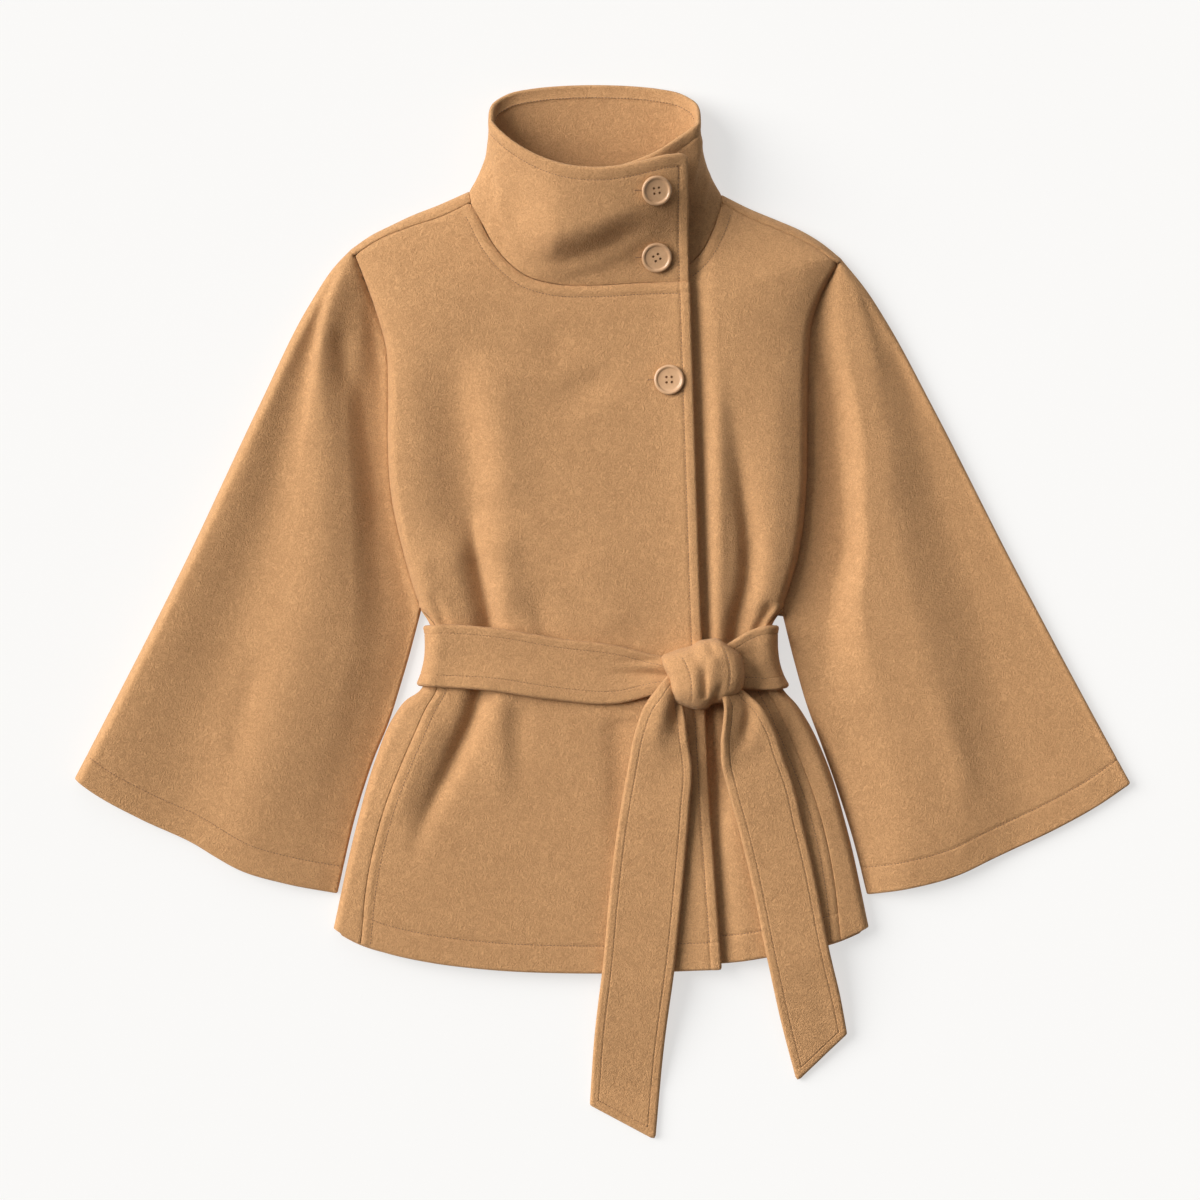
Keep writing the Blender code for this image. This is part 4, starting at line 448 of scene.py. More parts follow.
@dataclass
class Form:
    """The jacket's lines and the heights of its layers."""

    rise_width: float = 75.0                     # from the outline in to the full height
    underlap_drop: float = 4.9                   # the left front lies this far under the right one
    underlap_blend: float = 24.0
    edge_lift: float = 3.0
    edge_lift_width: float = 20.0
    shoulder_roll: float = 5.6
    belt_back: tuple[float, float, float] = (-39.0, 33.0, 26.0)
    belt_step: float = 5.5                       # the back steps up over the belt
    tuck: float = 14.0                           # the sleeve runs on under the front's edge
    near_rise: float = 26.0                      # the outline's own roll, inside the long rise
    near_share: float = 0.22
    slot_width: float = 5.0                      # the cloth beside the free edge lies lower
    slot_place: float = 5.0
    sleeve_roll: float = 9.0
    underarm: float = 6.0                        # height of the sleeve's inner fold
    lines: dict[str, dict[Side, Line]] = field(default_factory=dict)

    def __post_init__(self) -> None:
        """Draw every line."""
        tables = {"shoulder": SHOULDER_SEAM, "fold": SHOULDER_FOLD, "armhole": ARMHOLE_EDGE,
                  "body": BODY_SIDE, "seam": SIDE_SEAM, "neck": NECK_SEAM, "hem": HEM,
                  "outer": SLEEVE_OUTER, "ridge": SLEEVE_RIDGE, "inner": SLEEVE_INNER, "cuff": SLEEVE_HEM}
        self.lines = {name: {side: Line.through(table[side]) for side in Side} for name, table in tables.items()}
        self.neck_back = Line.through(NECK_BACK)
        self.hem_back = Line.through(HEM_BACK)
        self.front_edge = Line.through(FRONT_EDGE)
        self.underlap_edge = Line.through(UNDERLAP_EDGE)

    def flank(self, side: Side) -> list[Line]:
        """The body's outline on one side, from the shoulder to the hem."""
        return [self.lines["armhole"][side], self.lines["body"][side]]

    def body(self, plan: Array) -> Array:
        """Top of the body's cloth, with its folds, before the outline rolls down."""
        outline = [line for side in Side for line in self.flank(side)]
        outline += list(self.lines["fold"].values())
        y = plan[..., 1]
        edge = BODY_PROFILE.read("edge", y)
        gap = least_gap(outline, plan)
        rise = self.near_share * swell(gap / self.near_rise) + (1 - self.near_share) * swell(gap / self.rise_width)
        return edge + (BODY_PROFILE.read("crown", y) - edge) * rise + folded(BODY_FOLDS, plan) * swell(gap / 16)

    def rolled(self, plan: Array, top: Array, side: Side) -> Array:
        """A top brought down round the fold at the body's outline."""
        low = BODY_PROFILE.read("low", plan[..., 1])
        roll = BODY_PROFILE.read("roll", plan[..., 1])
        return low + (top - low) * quarter(least_gap(self.flank(side), plan) / roll)

    def front(self, plan: Array, side: Side) -> Array:
        """Outer face of one front; the right lies over the left."""
        beyond = plan[..., 0] - self.front_edge.x_at(plan[..., 1])
        top = self.body(plan)
        if side is Side.RIGHT:
            top = top + self.edge_lift * bell(beyond, self.edge_lift_width)
        else:
            top = top - self.underlap_drop * ease(1 - beyond / self.underlap_blend)
            depth = np.interp(plan[..., 1], *np.array(SLOT, dtype=float).T)
            top = top - depth * bell(beyond - self.slot_place, self.slot_width)
        return self.rolled(plan, top, side)

    def floor(self, plan: Array) -> Array:
        """Underside of the back, which steps up over the belt behind it."""
        middle, clear, blend = self.belt_back
        return self.belt_step * ease(1 - (np.abs(plan[..., 1] - middle) - clear) / blend)

    def armhole_tucked(self, side: Side) -> Line:
        """The armhole's seam, under the front's edge between its two ends."""
        line = self.lines["armhole"][side]
        window = ease(line.share / 0.15) * ease((1 - line.share) / 0.12)
        return line.shifted(side.inward * (1 + (self.tuck - 1) * window))

    def sleeve(self, plan: Array, side: Side) -> Array:
        """Outer face of the sleeve's upper layer."""
        y = plan[..., 1]
        armhole = self.lines["armhole"][side]
        edge = SLEEVE_EDGE.read("edge", y)
        beyond = (armhole.x_at(y) - plan[..., 0]) * side.inward
        outside = (beyond > 0) | (y < armhole.points[-1, 1])
        from_edge = armhole.gap(plan)
        from_body = np.where(outside, from_edge, 0.0)
        inside = from_edge - from_body
        sink = np.maximum(np.minimum(inside / 3, 1), ease((y - 270) / 35))
        seat = np.maximum(BODY_PROFILE.read("low", y) - 1 - CLOTH * sink, 2 * CLOTH + LAY)
        from_outer, from_inner = (self.lines[name][side].gap(plan) for name in ("outer", "inner"))
        edge = np.where(from_inner < from_outer, self.underarm, edge)
        from_fold = np.minimum(from_outer, from_inner)
        free = edge + (SLEEVE_SECTIONS[side].height(plan) - edge) * swell(from_fold / self.sleeve_roll)
        free = free + folded(SLEEVE_FOLDS[side], plan) * swell(from_fold / 14)
        hung = ease(from_body / (9 - 6 * ease((y - 255) / 30)))
        return seat + (np.maximum(free, 2 * CLOTH + LAY) - seat) * hung


def raised(plan: Array, height: Array) -> Array:
    """Plan points with their heights."""
    return np.concatenate([plan, np.broadcast_to(height, plan.shape[:-1])[..., None]], -1)


def patch(low: Array, high: Array, left: Array, right: Array, relax: int = 0) -> Array:
    """Plan points between four edges; the bows of the two sides fade out quickly.

    Args:
        low: the points of the first row.
        high: the points of the last row.
        left: the first point of each row.
        right: the last point of each row.
        relax: how many times each inner point moves to the middle of its four neighbours.

    Returns:
        Points in rows and columns.
    """
    v = np.linspace(0, 1, len(left))[:, None, None]
    w = np.linspace(0, 1, len(low))[None, :, None]
    bow_left = left[:, None] - (1 - v) * low[0] - v * high[0]
    bow_right = right[:, None] - (1 - v) * low[-1] - v * high[-1]
    grid = (1 - v) * low[None] + v * high[None] + (1 - w) ** 2 * bow_left + w ** 2 * bow_right
    for _ in range(relax):
        grid[1:-1, 1:-1] = (grid[:-2, 1:-1] + grid[2:, 1:-1] + grid[1:-1, :-2] + grid[1:-1, 2:]) / 4
    return grid


def spaced(grid: Array, step: float, start: Sequence[float] = (0.0,), end: Sequence[float] = (0.0,),
           lean: Array | float = 1.0) -> Array:
    """The rows of a grid read again at chosen distances along them.

    Args:
        grid: points in rows and columns.
        step: distance between points in the middle of a row.
        start: distances of the first points from the start of their row.
        end: distances of the last points from its end, the last one first.
        lean: how much further those distances are in each row, because it meets its end at a slant.

    Returns:
        The new grid, with as many points in each row.
    """
    steps = np.linalg.norm(np.diff(grid, axis=1), axis=2)
    along = np.concatenate([np.zeros((len(grid), 1)), np.cumsum(steps, axis=1)], axis=1)
    start, end = np.array(start), np.array(end)
    count = max(2, round((along[:, -1].mean() - start[-1] - end[-1]) / step))
    share = np.linspace(0, 1, count + 1)[1:-1]
    rows = []
    for points, reach, slant in zip(grid, along, np.broadcast_to(lean, len(grid))):
        total = reach[-1]
        squeeze = min(1.0, 0.8 * total / max(start[-1] + end[-1] * slant, 1e-6))
        first, last = start * squeeze, total - end[::-1] * squeeze * slant
        places = np.concatenate([first, first[-1] + share * (last[0] - first[-1]), last])
        rows.append(np.stack([np.interp(places, reach, axis) for axis in points.T], -1))
    return np.array(rows)


def spaced_rows(grid: Array, step: float, start: Sequence[float] = (0.0,), end: Sequence[float] = (0.0,),
                lean: Array | float = 1.0) -> Array:
    """The same as spaced, down the columns of a grid."""
    return spaced(grid.swapaxes(0, 1), step, start, end, lean).swapaxes(0, 1)


def grid_normals(points: Array, cells: Array, ring: bool) -> Array:
    """Unit normals of a grid of points.

    Args:
        points: points in rows and columns.
        cells: which squares between them are there.
        ring: whether the last column joins the first.

    Returns:
        A normal for each point.
    """
    if ring:
        points = np.concatenate([points, points[:, :1]], axis=1)
    square = np.cross(points[1:, 1:] - points[:-1, :-1], points[1:, :-1] - points[:-1, 1:])
    square = np.where(cells[..., None], square, 0.0)
    total = np.zeros_like(points)
    for rows in (np.s_[:-1], np.s_[1:]):
        for columns in (np.s_[:-1], np.s_[1:]):
            total[rows, columns] += square
    if ring:
        total[:, 0] += total[:, -1]
        total = total[:, :-1]
    size = np.linalg.norm(total, axis=2)[..., None]
    return total / np.where(size > 0, size, 1.0)


@dataclass
class Shell:
    """A wall of cloth: a grid of outer points, the inner face behind it and a rounded rim."""

    name: str
    outer: Array
    thickness: Array | float = CLOTH
    relief: Array | float = 0.0                  # how far the outer face is raised
    ring: bool = False
    cells: Array | None = None
    looks: int = 1                               # 1 if the sampled part of the outer face looks up
    sample: tuple = (slice(None), slice(None))
    bulge: float = 1.0                           # how round the rim is
    rim_steps: int = 3
    inner: Array | None = None                   # an inner face of its own

    def __post_init__(self) -> None:
        """Work out the normals and raise the relief."""
        rows, columns = self.outer.shape[:2]
        if self.cells is None:
            self.cells = np.ones((rows - 1, columns if self.ring else columns - 1), dtype=bool)
        normals = grid_normals(self.outer, self.cells, self.ring)
        self.turn = int(self.looks * np.sign(normals[self.sample][..., 2].mean()))
        self.normals = normals * self.turn
        self.outer = self.outer + self.normals * np.broadcast_to(self.relief, (rows, columns))[..., None]
        thickness = np.broadcast_to(self.thickness, (rows, columns))[..., None]
        if self.inner is None:
            self.inner = self.outer - self.normals * thickness

    def faces(self) -> tuple[Array, Array]:
        """The squares of the outer face and the edges round them, as numbers of points."""
        rows, columns = self.outer.shape[:2]
        index = np.arange(rows * columns).reshape(rows, columns)
        if self.ring:
            index = np.concatenate([index, index[:, :1]], axis=1)
        a, b, c, d = index[:-1, :-1], index[:-1, 1:], index[1:, 1:], index[1:, :-1]
        full = np.pad(self.cells, 1)
        if self.ring:
            full[:, 0], full[:, -1] = full[:, -2], full[:, 1]
        core = full[1:-1, 1:-1]
        sides = ((a, b, full[:-2, 1:-1]), (b, c, full[1:-1, 2:]), (c, d, full[2:, 1:-1]), (d, a, full[1:-1, :-2]))
        edges = np.concatenate([np.stack([start, end], -1)[core & ~beyond] for start, end, beyond in sides])
        return np.stack([a, b, c, d], -1)[core], edges

    def object(self, material: bpy.types.Material) -> bpy.types.Object:
        """Make the wall as an object.

        Args:
            material: its finish.

        Returns:
            The new object, in the scene.
        """
        squares, edges = self.faces()
        outer = self.outer.reshape(-1, 3)
        inner = self.inner.reshape(-1, 3)
        normals = self.normals.reshape(-1, 3)
        count = len(outer)
        along = outer[edges[:, 1]] - outer[edges[:, 0]]
        along /= np.maximum(np.linalg.norm(along, axis=1), 1e-9)[:, None]
        out = np.zeros_like(outer)
        for end in (0, 1):
            np.add.at(out, edges[:, end], self.turn * np.cross(along, normals[edges[:, end]]))
        border = np.unique(edges)
        out = out[border] / np.maximum(np.linalg.norm(out[border], axis=1), 1e-9)[:, None]
        middle = (outer[border] + inner[border]) / 2
        half = (outer[border] - inner[border]) / 2
        reach = np.linalg.norm(half, axis=1)[:, None] * self.bulge
        angles = np.pi * np.arange(1, self.rim_steps + 1) / (self.rim_steps + 1)
        rims = [middle + half * np.cos(angle) + out * reach * np.sin(angle) for angle in angles]
        place = np.full(count, -1)
        place[border] = np.arange(len(border))
        levels = [edges]
        levels += [2 * count + step * len(border) + place[edges] for step in range(self.rim_steps)]
        levels.append(edges + count)
        strips = [np.stack([upper[:, 1], upper[:, 0], lower[:, 0], lower[:, 1]], -1)
                  for upper, lower in zip(levels, levels[1:])]
        faces = np.concatenate([squares, squares[:, ::-1] + count] + strips)
        if self.turn < 0:
            faces = faces[:, ::-1]
        used = np.zeros(2 * count + self.rim_steps * len(border), dtype=bool)
        used[faces.ravel()] = True
        number = np.cumsum(used) - 1
        points = np.concatenate([outer, inner] + rims)[used]
        return mesh_object(self.name, points, number[faces], material)


def mesh_object(name: str, points: Array, faces: Array, material: bpy.types.Material) -> bpy.types.Object:
    """Make a smooth object from points in millimetres and faces."""
    mesh = bpy.data.meshes.new(name)
    mesh.from_pydata((points * MM).tolist(), [], np.asarray(faces).tolist())
    mesh.materials.append(material)
    mesh.shade_smooth()
    piece = bpy.data.objects.new(name, mesh)
    bpy.context.scene.collection.objects.link(piece)
    return piece


class Cut(NamedTuple):
    """The flat size of a cloth piece, in metres: the whole way round on a tube."""

    width: float
    length: float
    area: float
    rests_on: tuple[str, ...] = ()

    def declare(self, piece: bpy.types.Object, *with_pieces: bpy.types.Object) -> None:
        """Take a piece and the pieces with it, and do nothing with them."""


CUTS = {
    "back": Cut(0.560, 0.700, 0.275),
    "right_front": Cut(0.330, 0.690, 0.185, ("back", "left_front")),
    "left_front": Cut(0.312, 0.686, 0.174, ("back",)),
    "right_sleeve": Cut(0.530, 0.580, 0.206),
    "left_sleeve": Cut(0.520, 0.572, 0.201),
    "collar": Cut(0.560, 0.135, 0.065, ("back",)),
    "belt_waist": Cut(0.695, 0.057, 0.038, ("right_front", "left_front")),
    "belt_tail_right": Cut(0.060, 0.435, 0.0256, ("right_front",)),
    "belt_tail_left": Cut(0.058, 0.380, 0.0203, ("left_front",)),
}


def dressed(piece: bpy.types.Object, slot: str, *nodes: str) -> bpy.types.Object:
    """Hang a piece on the jacket in place of its plain nodes.

    Args:
        piece: the new piece.
        slot: not used.
        nodes: the nodes that it stands for.

    Returns:
        The same piece.
    """
    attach(piece, "root")
    if nodes:
        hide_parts(*nodes)
    triangles = sum(len(face.vertices) - 2 for face in piece.data.polygons)
    log.info("%s: %d triangles", piece.name, triangles)
    return piece


EDGE_STEPS = (2.0, 2.7, 3.8, 5.2, 6.8, 8.2, 8.9, 9.5, 10.1, 10.8, 12.2, 14.2, 17.0, 20.0)
HEM_STEPS = (2.0, 2.8, 4.2, 6.5, 9.5, 13.0, 16.5, 19.5, 22.0, 23.6, 24.4, 25.0, 25.6, 26.4, 28.0, 30.5, 33.5)
NECK_STEPS = (0.0, 0.4, 1.0, 2.0, 3.6, 5.2, 6.8, 8.4, 9.3, 10.0, 10.7, 11.6, 13.2, 15.5)
ROLL_STEPS = (0.0, 0.12, 0.5, 1.1, 2.0, 3.1, 4.4, 6.0, 8.0, 10.4)
SEAM_STEPS = (0.0, 0.5, 1.2, 2.2, 3.6, 5.0, 6.2, 7.0, 7.6, 8.2, 9.0, 10.2, 12.0)


def grooved(distance: Array, centre: float, depth: float = 0.55, width: float = 1.1) -> Array:
    """How far a line of stitches at this distance from an edge pulls the cloth down."""
    return -depth * bell(distance - centre, width)


def padded_band(distance: Array, start: float, end: float, height: float = 0.35) -> Array:
    """The soft swell of the cloth between an edge or seam and its stitches."""
    share = np.clip((distance - start) / (end - start), 0, 1)
    return height * np.sin(np.pi * share)


@dataclass
class Front:
    """One front of the jacket: shoulder, armhole, side seam, hem and free edge."""

    form: Form
    side: Side
    step: float
    side_end: float = 0.49                       # the side seam's share of its length
    shoulder_end: float = 0.34                   # the shoulder's share of its upper edge
    dense: int = 240
    relax: int = 25                              # evens out the kink below the neck's corner
    neck_end: dict[Side, float] = field(default_factory=lambda: {Side.RIGHT: 0.955, Side.LEFT: 0.36})

    def flat(self) -> Array:
        """The panel in plan, in rows from the hem up and columns from the side to the free edge."""
        lines, side, gap = self.form.lines, self.side, SEAM_GAP * self.side.inward
        below = round(self.dense * self.side_end)
        flank = np.concatenate([lines["seam"][side].shifted(gap).at(np.linspace(1, 0, below)),
                                lines["armhole"][side].at(np.linspace(1, 0, self.dense - below + 1)[1:])])
        across = round(self.dense * self.shoulder_end)
        top = np.concatenate([lines["shoulder"][side].shifted(-gap).at(np.linspace(0, 1, across)),
                              lines["neck"][side].shifted(-gap).at(np.linspace(0, 1, self.dense - across + 1)[1:])])
        edge = self.form.front_edge if side is Side.RIGHT else self.form.underlap_edge
        opening = edge.at(np.linspace(0, 1, self.dense))
        flank[-1], opening[-1] = top[0], top[-1]
        whole = patch(lines["hem"][side].at(np.linspace(0, 1, self.dense)), top, flank, opening, self.relax)
        whole = spaced(whole, self.step, ROLL_STEPS, EDGE_STEPS)
        return spaced_rows(whole, self.step, HEM_STEPS, NECK_STEPS, self.lean(whole))

    def lean(self, whole: Array) -> Array:
        """How much longer each column takes than a straight way from the neck seam to its stitches."""
        upper = [self.form.lines[name][self.side] for name in ("neck", "shoulder")]
        lean = []
        for column in whole.swapaxes(0, 1):
            down = column[:-24:-1]
            reach = np.concatenate([[0.0], np.cumsum(np.linalg.norm(np.diff(down, axis=0), axis=1))])
            gap = np.maximum.accumulate(least_gap(upper, down))
            lean.append(float(np.interp(NECK_STITCH, gap, reach)) / NECK_STITCH)
        smooth = np.convolve(np.pad(lean, 2, mode="edge"), np.ones(5) / 5, mode="valid")
        return np.clip(smooth, 1.0, 3.0)

    def sew(self, shell: Shell, sewing: Stitching) -> None:
        """Stitch the panel's hem, free edge and side seam.

        Args:
            shell: the panel's wall.
            sewing: the stitches to add to.
        """
        hem_row, edge_column = HEM_STEPS.index(HEM_DEPTH), -1 - EDGE_STEPS.index(EDGE_STITCH)
        neck_row, side_column = -1 - NECK_STEPS.index(NECK_STITCH), ROLL_STEPS.index(SIDE_STITCH)
        sewing.along(shell, np.s_[hem_row, side_column:edge_column])
        if self.side is Side.RIGHT:
            sewing.along(shell, np.s_[hem_row:neck_row + 3, edge_column])
        below = int((shell.outer[:, side_column, 1] < BELT_MIDDLE).sum())
        sewing.along(shell, np.s_[1:below, side_column])

    def sew_neck(self, top: Surface, sewing: Stitching) -> None:
        """Stitch the neck, from the shoulder seam to the free edge, on the finished panel."""
        line = self.form.lines["neck"][self.side].shifted(-NECK_STITCH * self.side.inward)
        sewing.over(top, line.at(np.linspace(0.035, self.neck_end[self.side], 90)))

    def shell(self) -> Shell:
        """The panel as a wall of cloth, its stitched lines pulled down."""
        plan = self.flat()
        side, lines = self.side, self.form.lines
        edge = self.form.front_edge if side is Side.RIGHT else self.form.underlap_edge
        from_edge, from_hem = edge.gap(plan), lines["hem"][side].gap(plan)
        from_neck = lines["neck"][side].gap(plan)
        from_seam = lines["seam"][side].gap(plan)
        relief = grooved(from_edge, EDGE_STITCH) + padded_band(from_edge, 0, EDGE_STITCH)
        relief += grooved(from_hem, HEM_DEPTH) + grooved(from_neck, NECK_STITCH)
        relief += padded_band(from_neck, 0, NECK_STITCH, 0.8) + padded_band(from_seam, 0, SIDE_STITCH, 0.5)
        relief += grooved(from_seam, SIDE_STITCH, 0.5)
        for name in ("neck", "seam", "shoulder"):
            relief -= SEAM_DIP * bell(lines[name][side].gap(plan), 2.2)
        doubled = ease((HEM_DEPTH + 4 - np.minimum(from_edge, from_hem)) / 5)
        thickness = CLOTH + (HEM_CLOTH - CLOTH) * doubled
        return Shell(side.value + "_front", raised(plan, self.form.front(plan, side)), thickness, relief)


@dataclass
class Back:
    """The back, with its stretches round both sides and over both shoulders."""

    form: Form
    step: float
    side_end: float = 0.49
    shoulder_end: float = 0.23
    arc_steps: int = 9

    def side_wrap(self, side: Side, shares: Array) -> Array:
        """The stretch round one side, from the flat of the back up to the side seam.

        Args:
            side: the wearer's side.
            shares: places down the side seam.

        Returns:
            A row of points for each place.
        """
        lines, inward = self.form.lines, np.array([side.inward, 0.0])
        apex = lines["body"][side].at(shares)
        seam = lines["seam"][side].shifted(-SEAM_GAP * side.inward).at(shares)
        width = np.maximum(np.linalg.norm(seam - apex, axis=1), 0.3)
        unit = np.where(width[:, None] > 1, (seam - apex) / width[:, None], inward)
        low = BODY_PROFILE.read("low", apex[:, 1])[:, None]
        roll = BODY_PROFILE.read("roll", apex[:, 1])[:, None]
        angle = np.linspace(-math.pi / 2, 0, self.arc_steps)[:-1]
        below = roll * (1 - np.cos(angle))
        above = width[:, None] * np.linspace(0, 1, self.arc_steps + 6) ** 2
        across = np.concatenate([below, above], axis=1)
        plan = apex[:, None] + unit[:, None] * across[..., None]
        under = self.form.floor(plan[:, :len(angle)])
        lower = low + (low - under) * np.sin(angle)
        upper = self.form.front(plan[:, len(angle):], side)
        return raised(plan, np.concatenate([lower, upper], axis=1))

    def shoulder_wrap(self, side: Side, shares: Array) -> Array:
        """The stretch over one shoulder, in rows from the flat of the back up to the seam."""
        lines, roll = self.form.lines, self.form.shoulder_roll
        fold = lines["fold"][side].at(shares)
        seam = lines["shoulder"][side].shifted(SEAM_GAP * side.inward).at(shares)
        width = np.linalg.norm(seam - fold, axis=1)
        unit = (seam - fold) / width[:, None]
        angle = np.linspace(-math.pi / 2, 0, self.arc_steps)[:-1]
        below = np.broadcast_to((roll * (1 - np.cos(angle)))[:, None], (len(angle), len(shares)))
        above = width * (np.linspace(0, 1, self.arc_steps + 3) ** 1.6)[:, None]
        across = np.concatenate([below, above])
        plan = fold + unit * across[..., None]
        lower = np.broadcast_to((roll + roll * np.sin(angle))[:, None], (len(angle), len(shares)))
        top = self.form.front(plan[len(angle):], side)
        upper = roll + (top - roll) * quarter(above / roll)
        return raised(plan, np.concatenate([lower, upper]))

    def shell(self) -> Shell:
        """The whole back as one wall of cloth."""
        length = self.form.lines["seam"][Side.RIGHT].length
        shares = np.linspace(1 - HEM_STEPS[0] / length, 0, round(length / self.step))
        wraps = {side: self.side_wrap(side, shares) for side in Side}
        across = np.linspace(0, 1, round(125 / self.step))
        shoulders = {side: self.shoulder_wrap(side, across) for side in Side}
        neck = self.form.neck_back.at(np.linspace(0, 1, round(230 / self.step)))
        right, left = shoulders[Side.RIGHT], shoulders[Side.LEFT]
        neck[0], neck[-1] = right[0, -1, :2], left[0, -1, :2]
        top = np.concatenate([right[0, :-1, :2], neck, left[0, -2::-1, :2]])
        above = np.linspace(1, 0, round(340 / self.step))[1:]
        flank = {}
        for side in Side:
            armhole = self.form.armhole_tucked(side).shifted(side.inward * 0.8).at(above)
            flank[side] = np.concatenate([wraps[side][:, 0, :2], armhole])
        flank[Side.RIGHT][-1], flank[Side.LEFT][-1] = top[0], top[-1]
        corners = np.array([flank[side][0] for side in Side])
        hem = self.form.hem_back.at(np.linspace(*self.form.hem_back.near(corners)[1], len(top)))
        hem[0], hem[-1] = corners
        plan = patch(hem, top, flank[Side.RIGHT], flank[Side.LEFT])
        flat = raised(plan, self.form.floor(plan))
        rows, columns = flat.shape[:2]
        side_columns, shoulder_rows = wraps[Side.RIGHT].shape[1] - 1, len(right) - 1
        side_rows, width = len(shares), len(across)
        last = side_columns + columns
        outer = np.zeros((rows + shoulder_rows, columns + 2 * side_columns, 3))
        outer[:rows, side_columns:last] = flat
        outer[:side_rows, :side_columns] = wraps[Side.RIGHT][:, :0:-1]
        outer[:side_rows, last:] = wraps[Side.LEFT][:, 1:]
        outer[rows:, side_columns:side_columns + width] = right[1:]
        outer[rows:, last - width:last] = left[1:, ::-1]
        cells = np.zeros((outer.shape[0] - 1, outer.shape[1] - 1), dtype=bool)
        cells[:rows - 1, side_columns:last - 1] = True
        cells[:side_rows - 1] = True
        cells[rows - 1:, side_columns:side_columns + width - 1] = True
        cells[rows - 1:, last - width:last - 1] = True
        middle = np.s_[4:side_rows - 4, side_columns + 9:last - 9]
        return Shell("back", outer, CLOTH, cells=cells, looks=-1, sample=middle)


RIM_STEPS = (2.2, 3.0, 4.2, 6.0, 8.0, 9.6, 10.6, 11.4, 12.2, 13.2, 15.0, 18.0)
FOLD_STEPS = (0.0, 0.1, 0.4, 0.9, 1.6, 2.5, 3.6, 5.0, 6.8, 9.0, 11.6)


@dataclass
class Sleeve:
    """One sleeve as a flat tube, from the armhole to the hem."""

    form: Form
    side: Side
    step: float
    dense: int = 200
    columns: int = 0                             # of the upper layer

    def flat(self) -> Array:
        """The sleeve's outline in plan, in rows from the armhole to the hem.

        Returns:
            Columns from the outer fold to the underarm.
        """
        lines, side = self.form.lines, self.side
        outer, inner = lines["outer"][side], lines["inner"][side]
        armhole = self.form.armhole_tucked(side)
        start = Line(np.concatenate([outer.points[:1], armhole.points[3:]]))
        shares = np.linspace(0, 1, self.dense)
        whole = patch(start.at(shares), lines["cuff"][side].at(shares), outer.at(shares), inner.at(shares))
        whole = spaced(whole, self.step, FOLD_STEPS, FOLD_STEPS)
        return spaced_rows(whole, self.step, (0.0,), HEM_STEPS)

    def shell(self) -> Shell:
        """The tube: across the top from the outer fold to the underarm, and back below."""
        plan = self.flat()
        side, lines = self.side, self.form.lines
        from_outer, from_inner = (lines[name][side].gap(plan) for name in ("outer", "inner"))
        edge = np.where(from_inner < from_outer, self.form.underarm, SLEEVE_EDGE.read("edge", plan[..., 1]))
        radius = edge / 2
        gap = np.minimum(from_outer, from_inner)
        gap[:, 0] = 0.0
        gap[:, -1] = 0.0
        lift = quarter(gap / radius)
        top = radius + (self.form.sleeve(plan, side) - radius) * lift
        bottom = radius * (1 - lift)
        outer = np.concatenate([raised(plan, top), raised(plan, bottom)[:, -2:0:-1]], axis=1)
        columns = plan.shape[1]
        from_hem = lines["cuff"][side].gap(outer[..., :2])
        doubled = ease((HEM_DEPTH + 4 - from_hem) / 5)
        thickness = CLOTH + (3.4 - CLOTH) * doubled
        relief = grooved(from_hem, HEM_DEPTH) * (np.arange(outer.shape[1]) < columns)
        middle = np.s_[8:-8, 12:columns - 12]
        self.columns = columns
        return Shell(side.value + "_sleeve", outer, thickness, relief, ring=True, sample=middle)

    def sew(self, shell: Shell, sewing: Stitching) -> None:
        """Stitch the hem."""
        sewing.along(shell, np.s_[-1 - HEM_STEPS.index(HEM_DEPTH), 6:self.columns - 6])


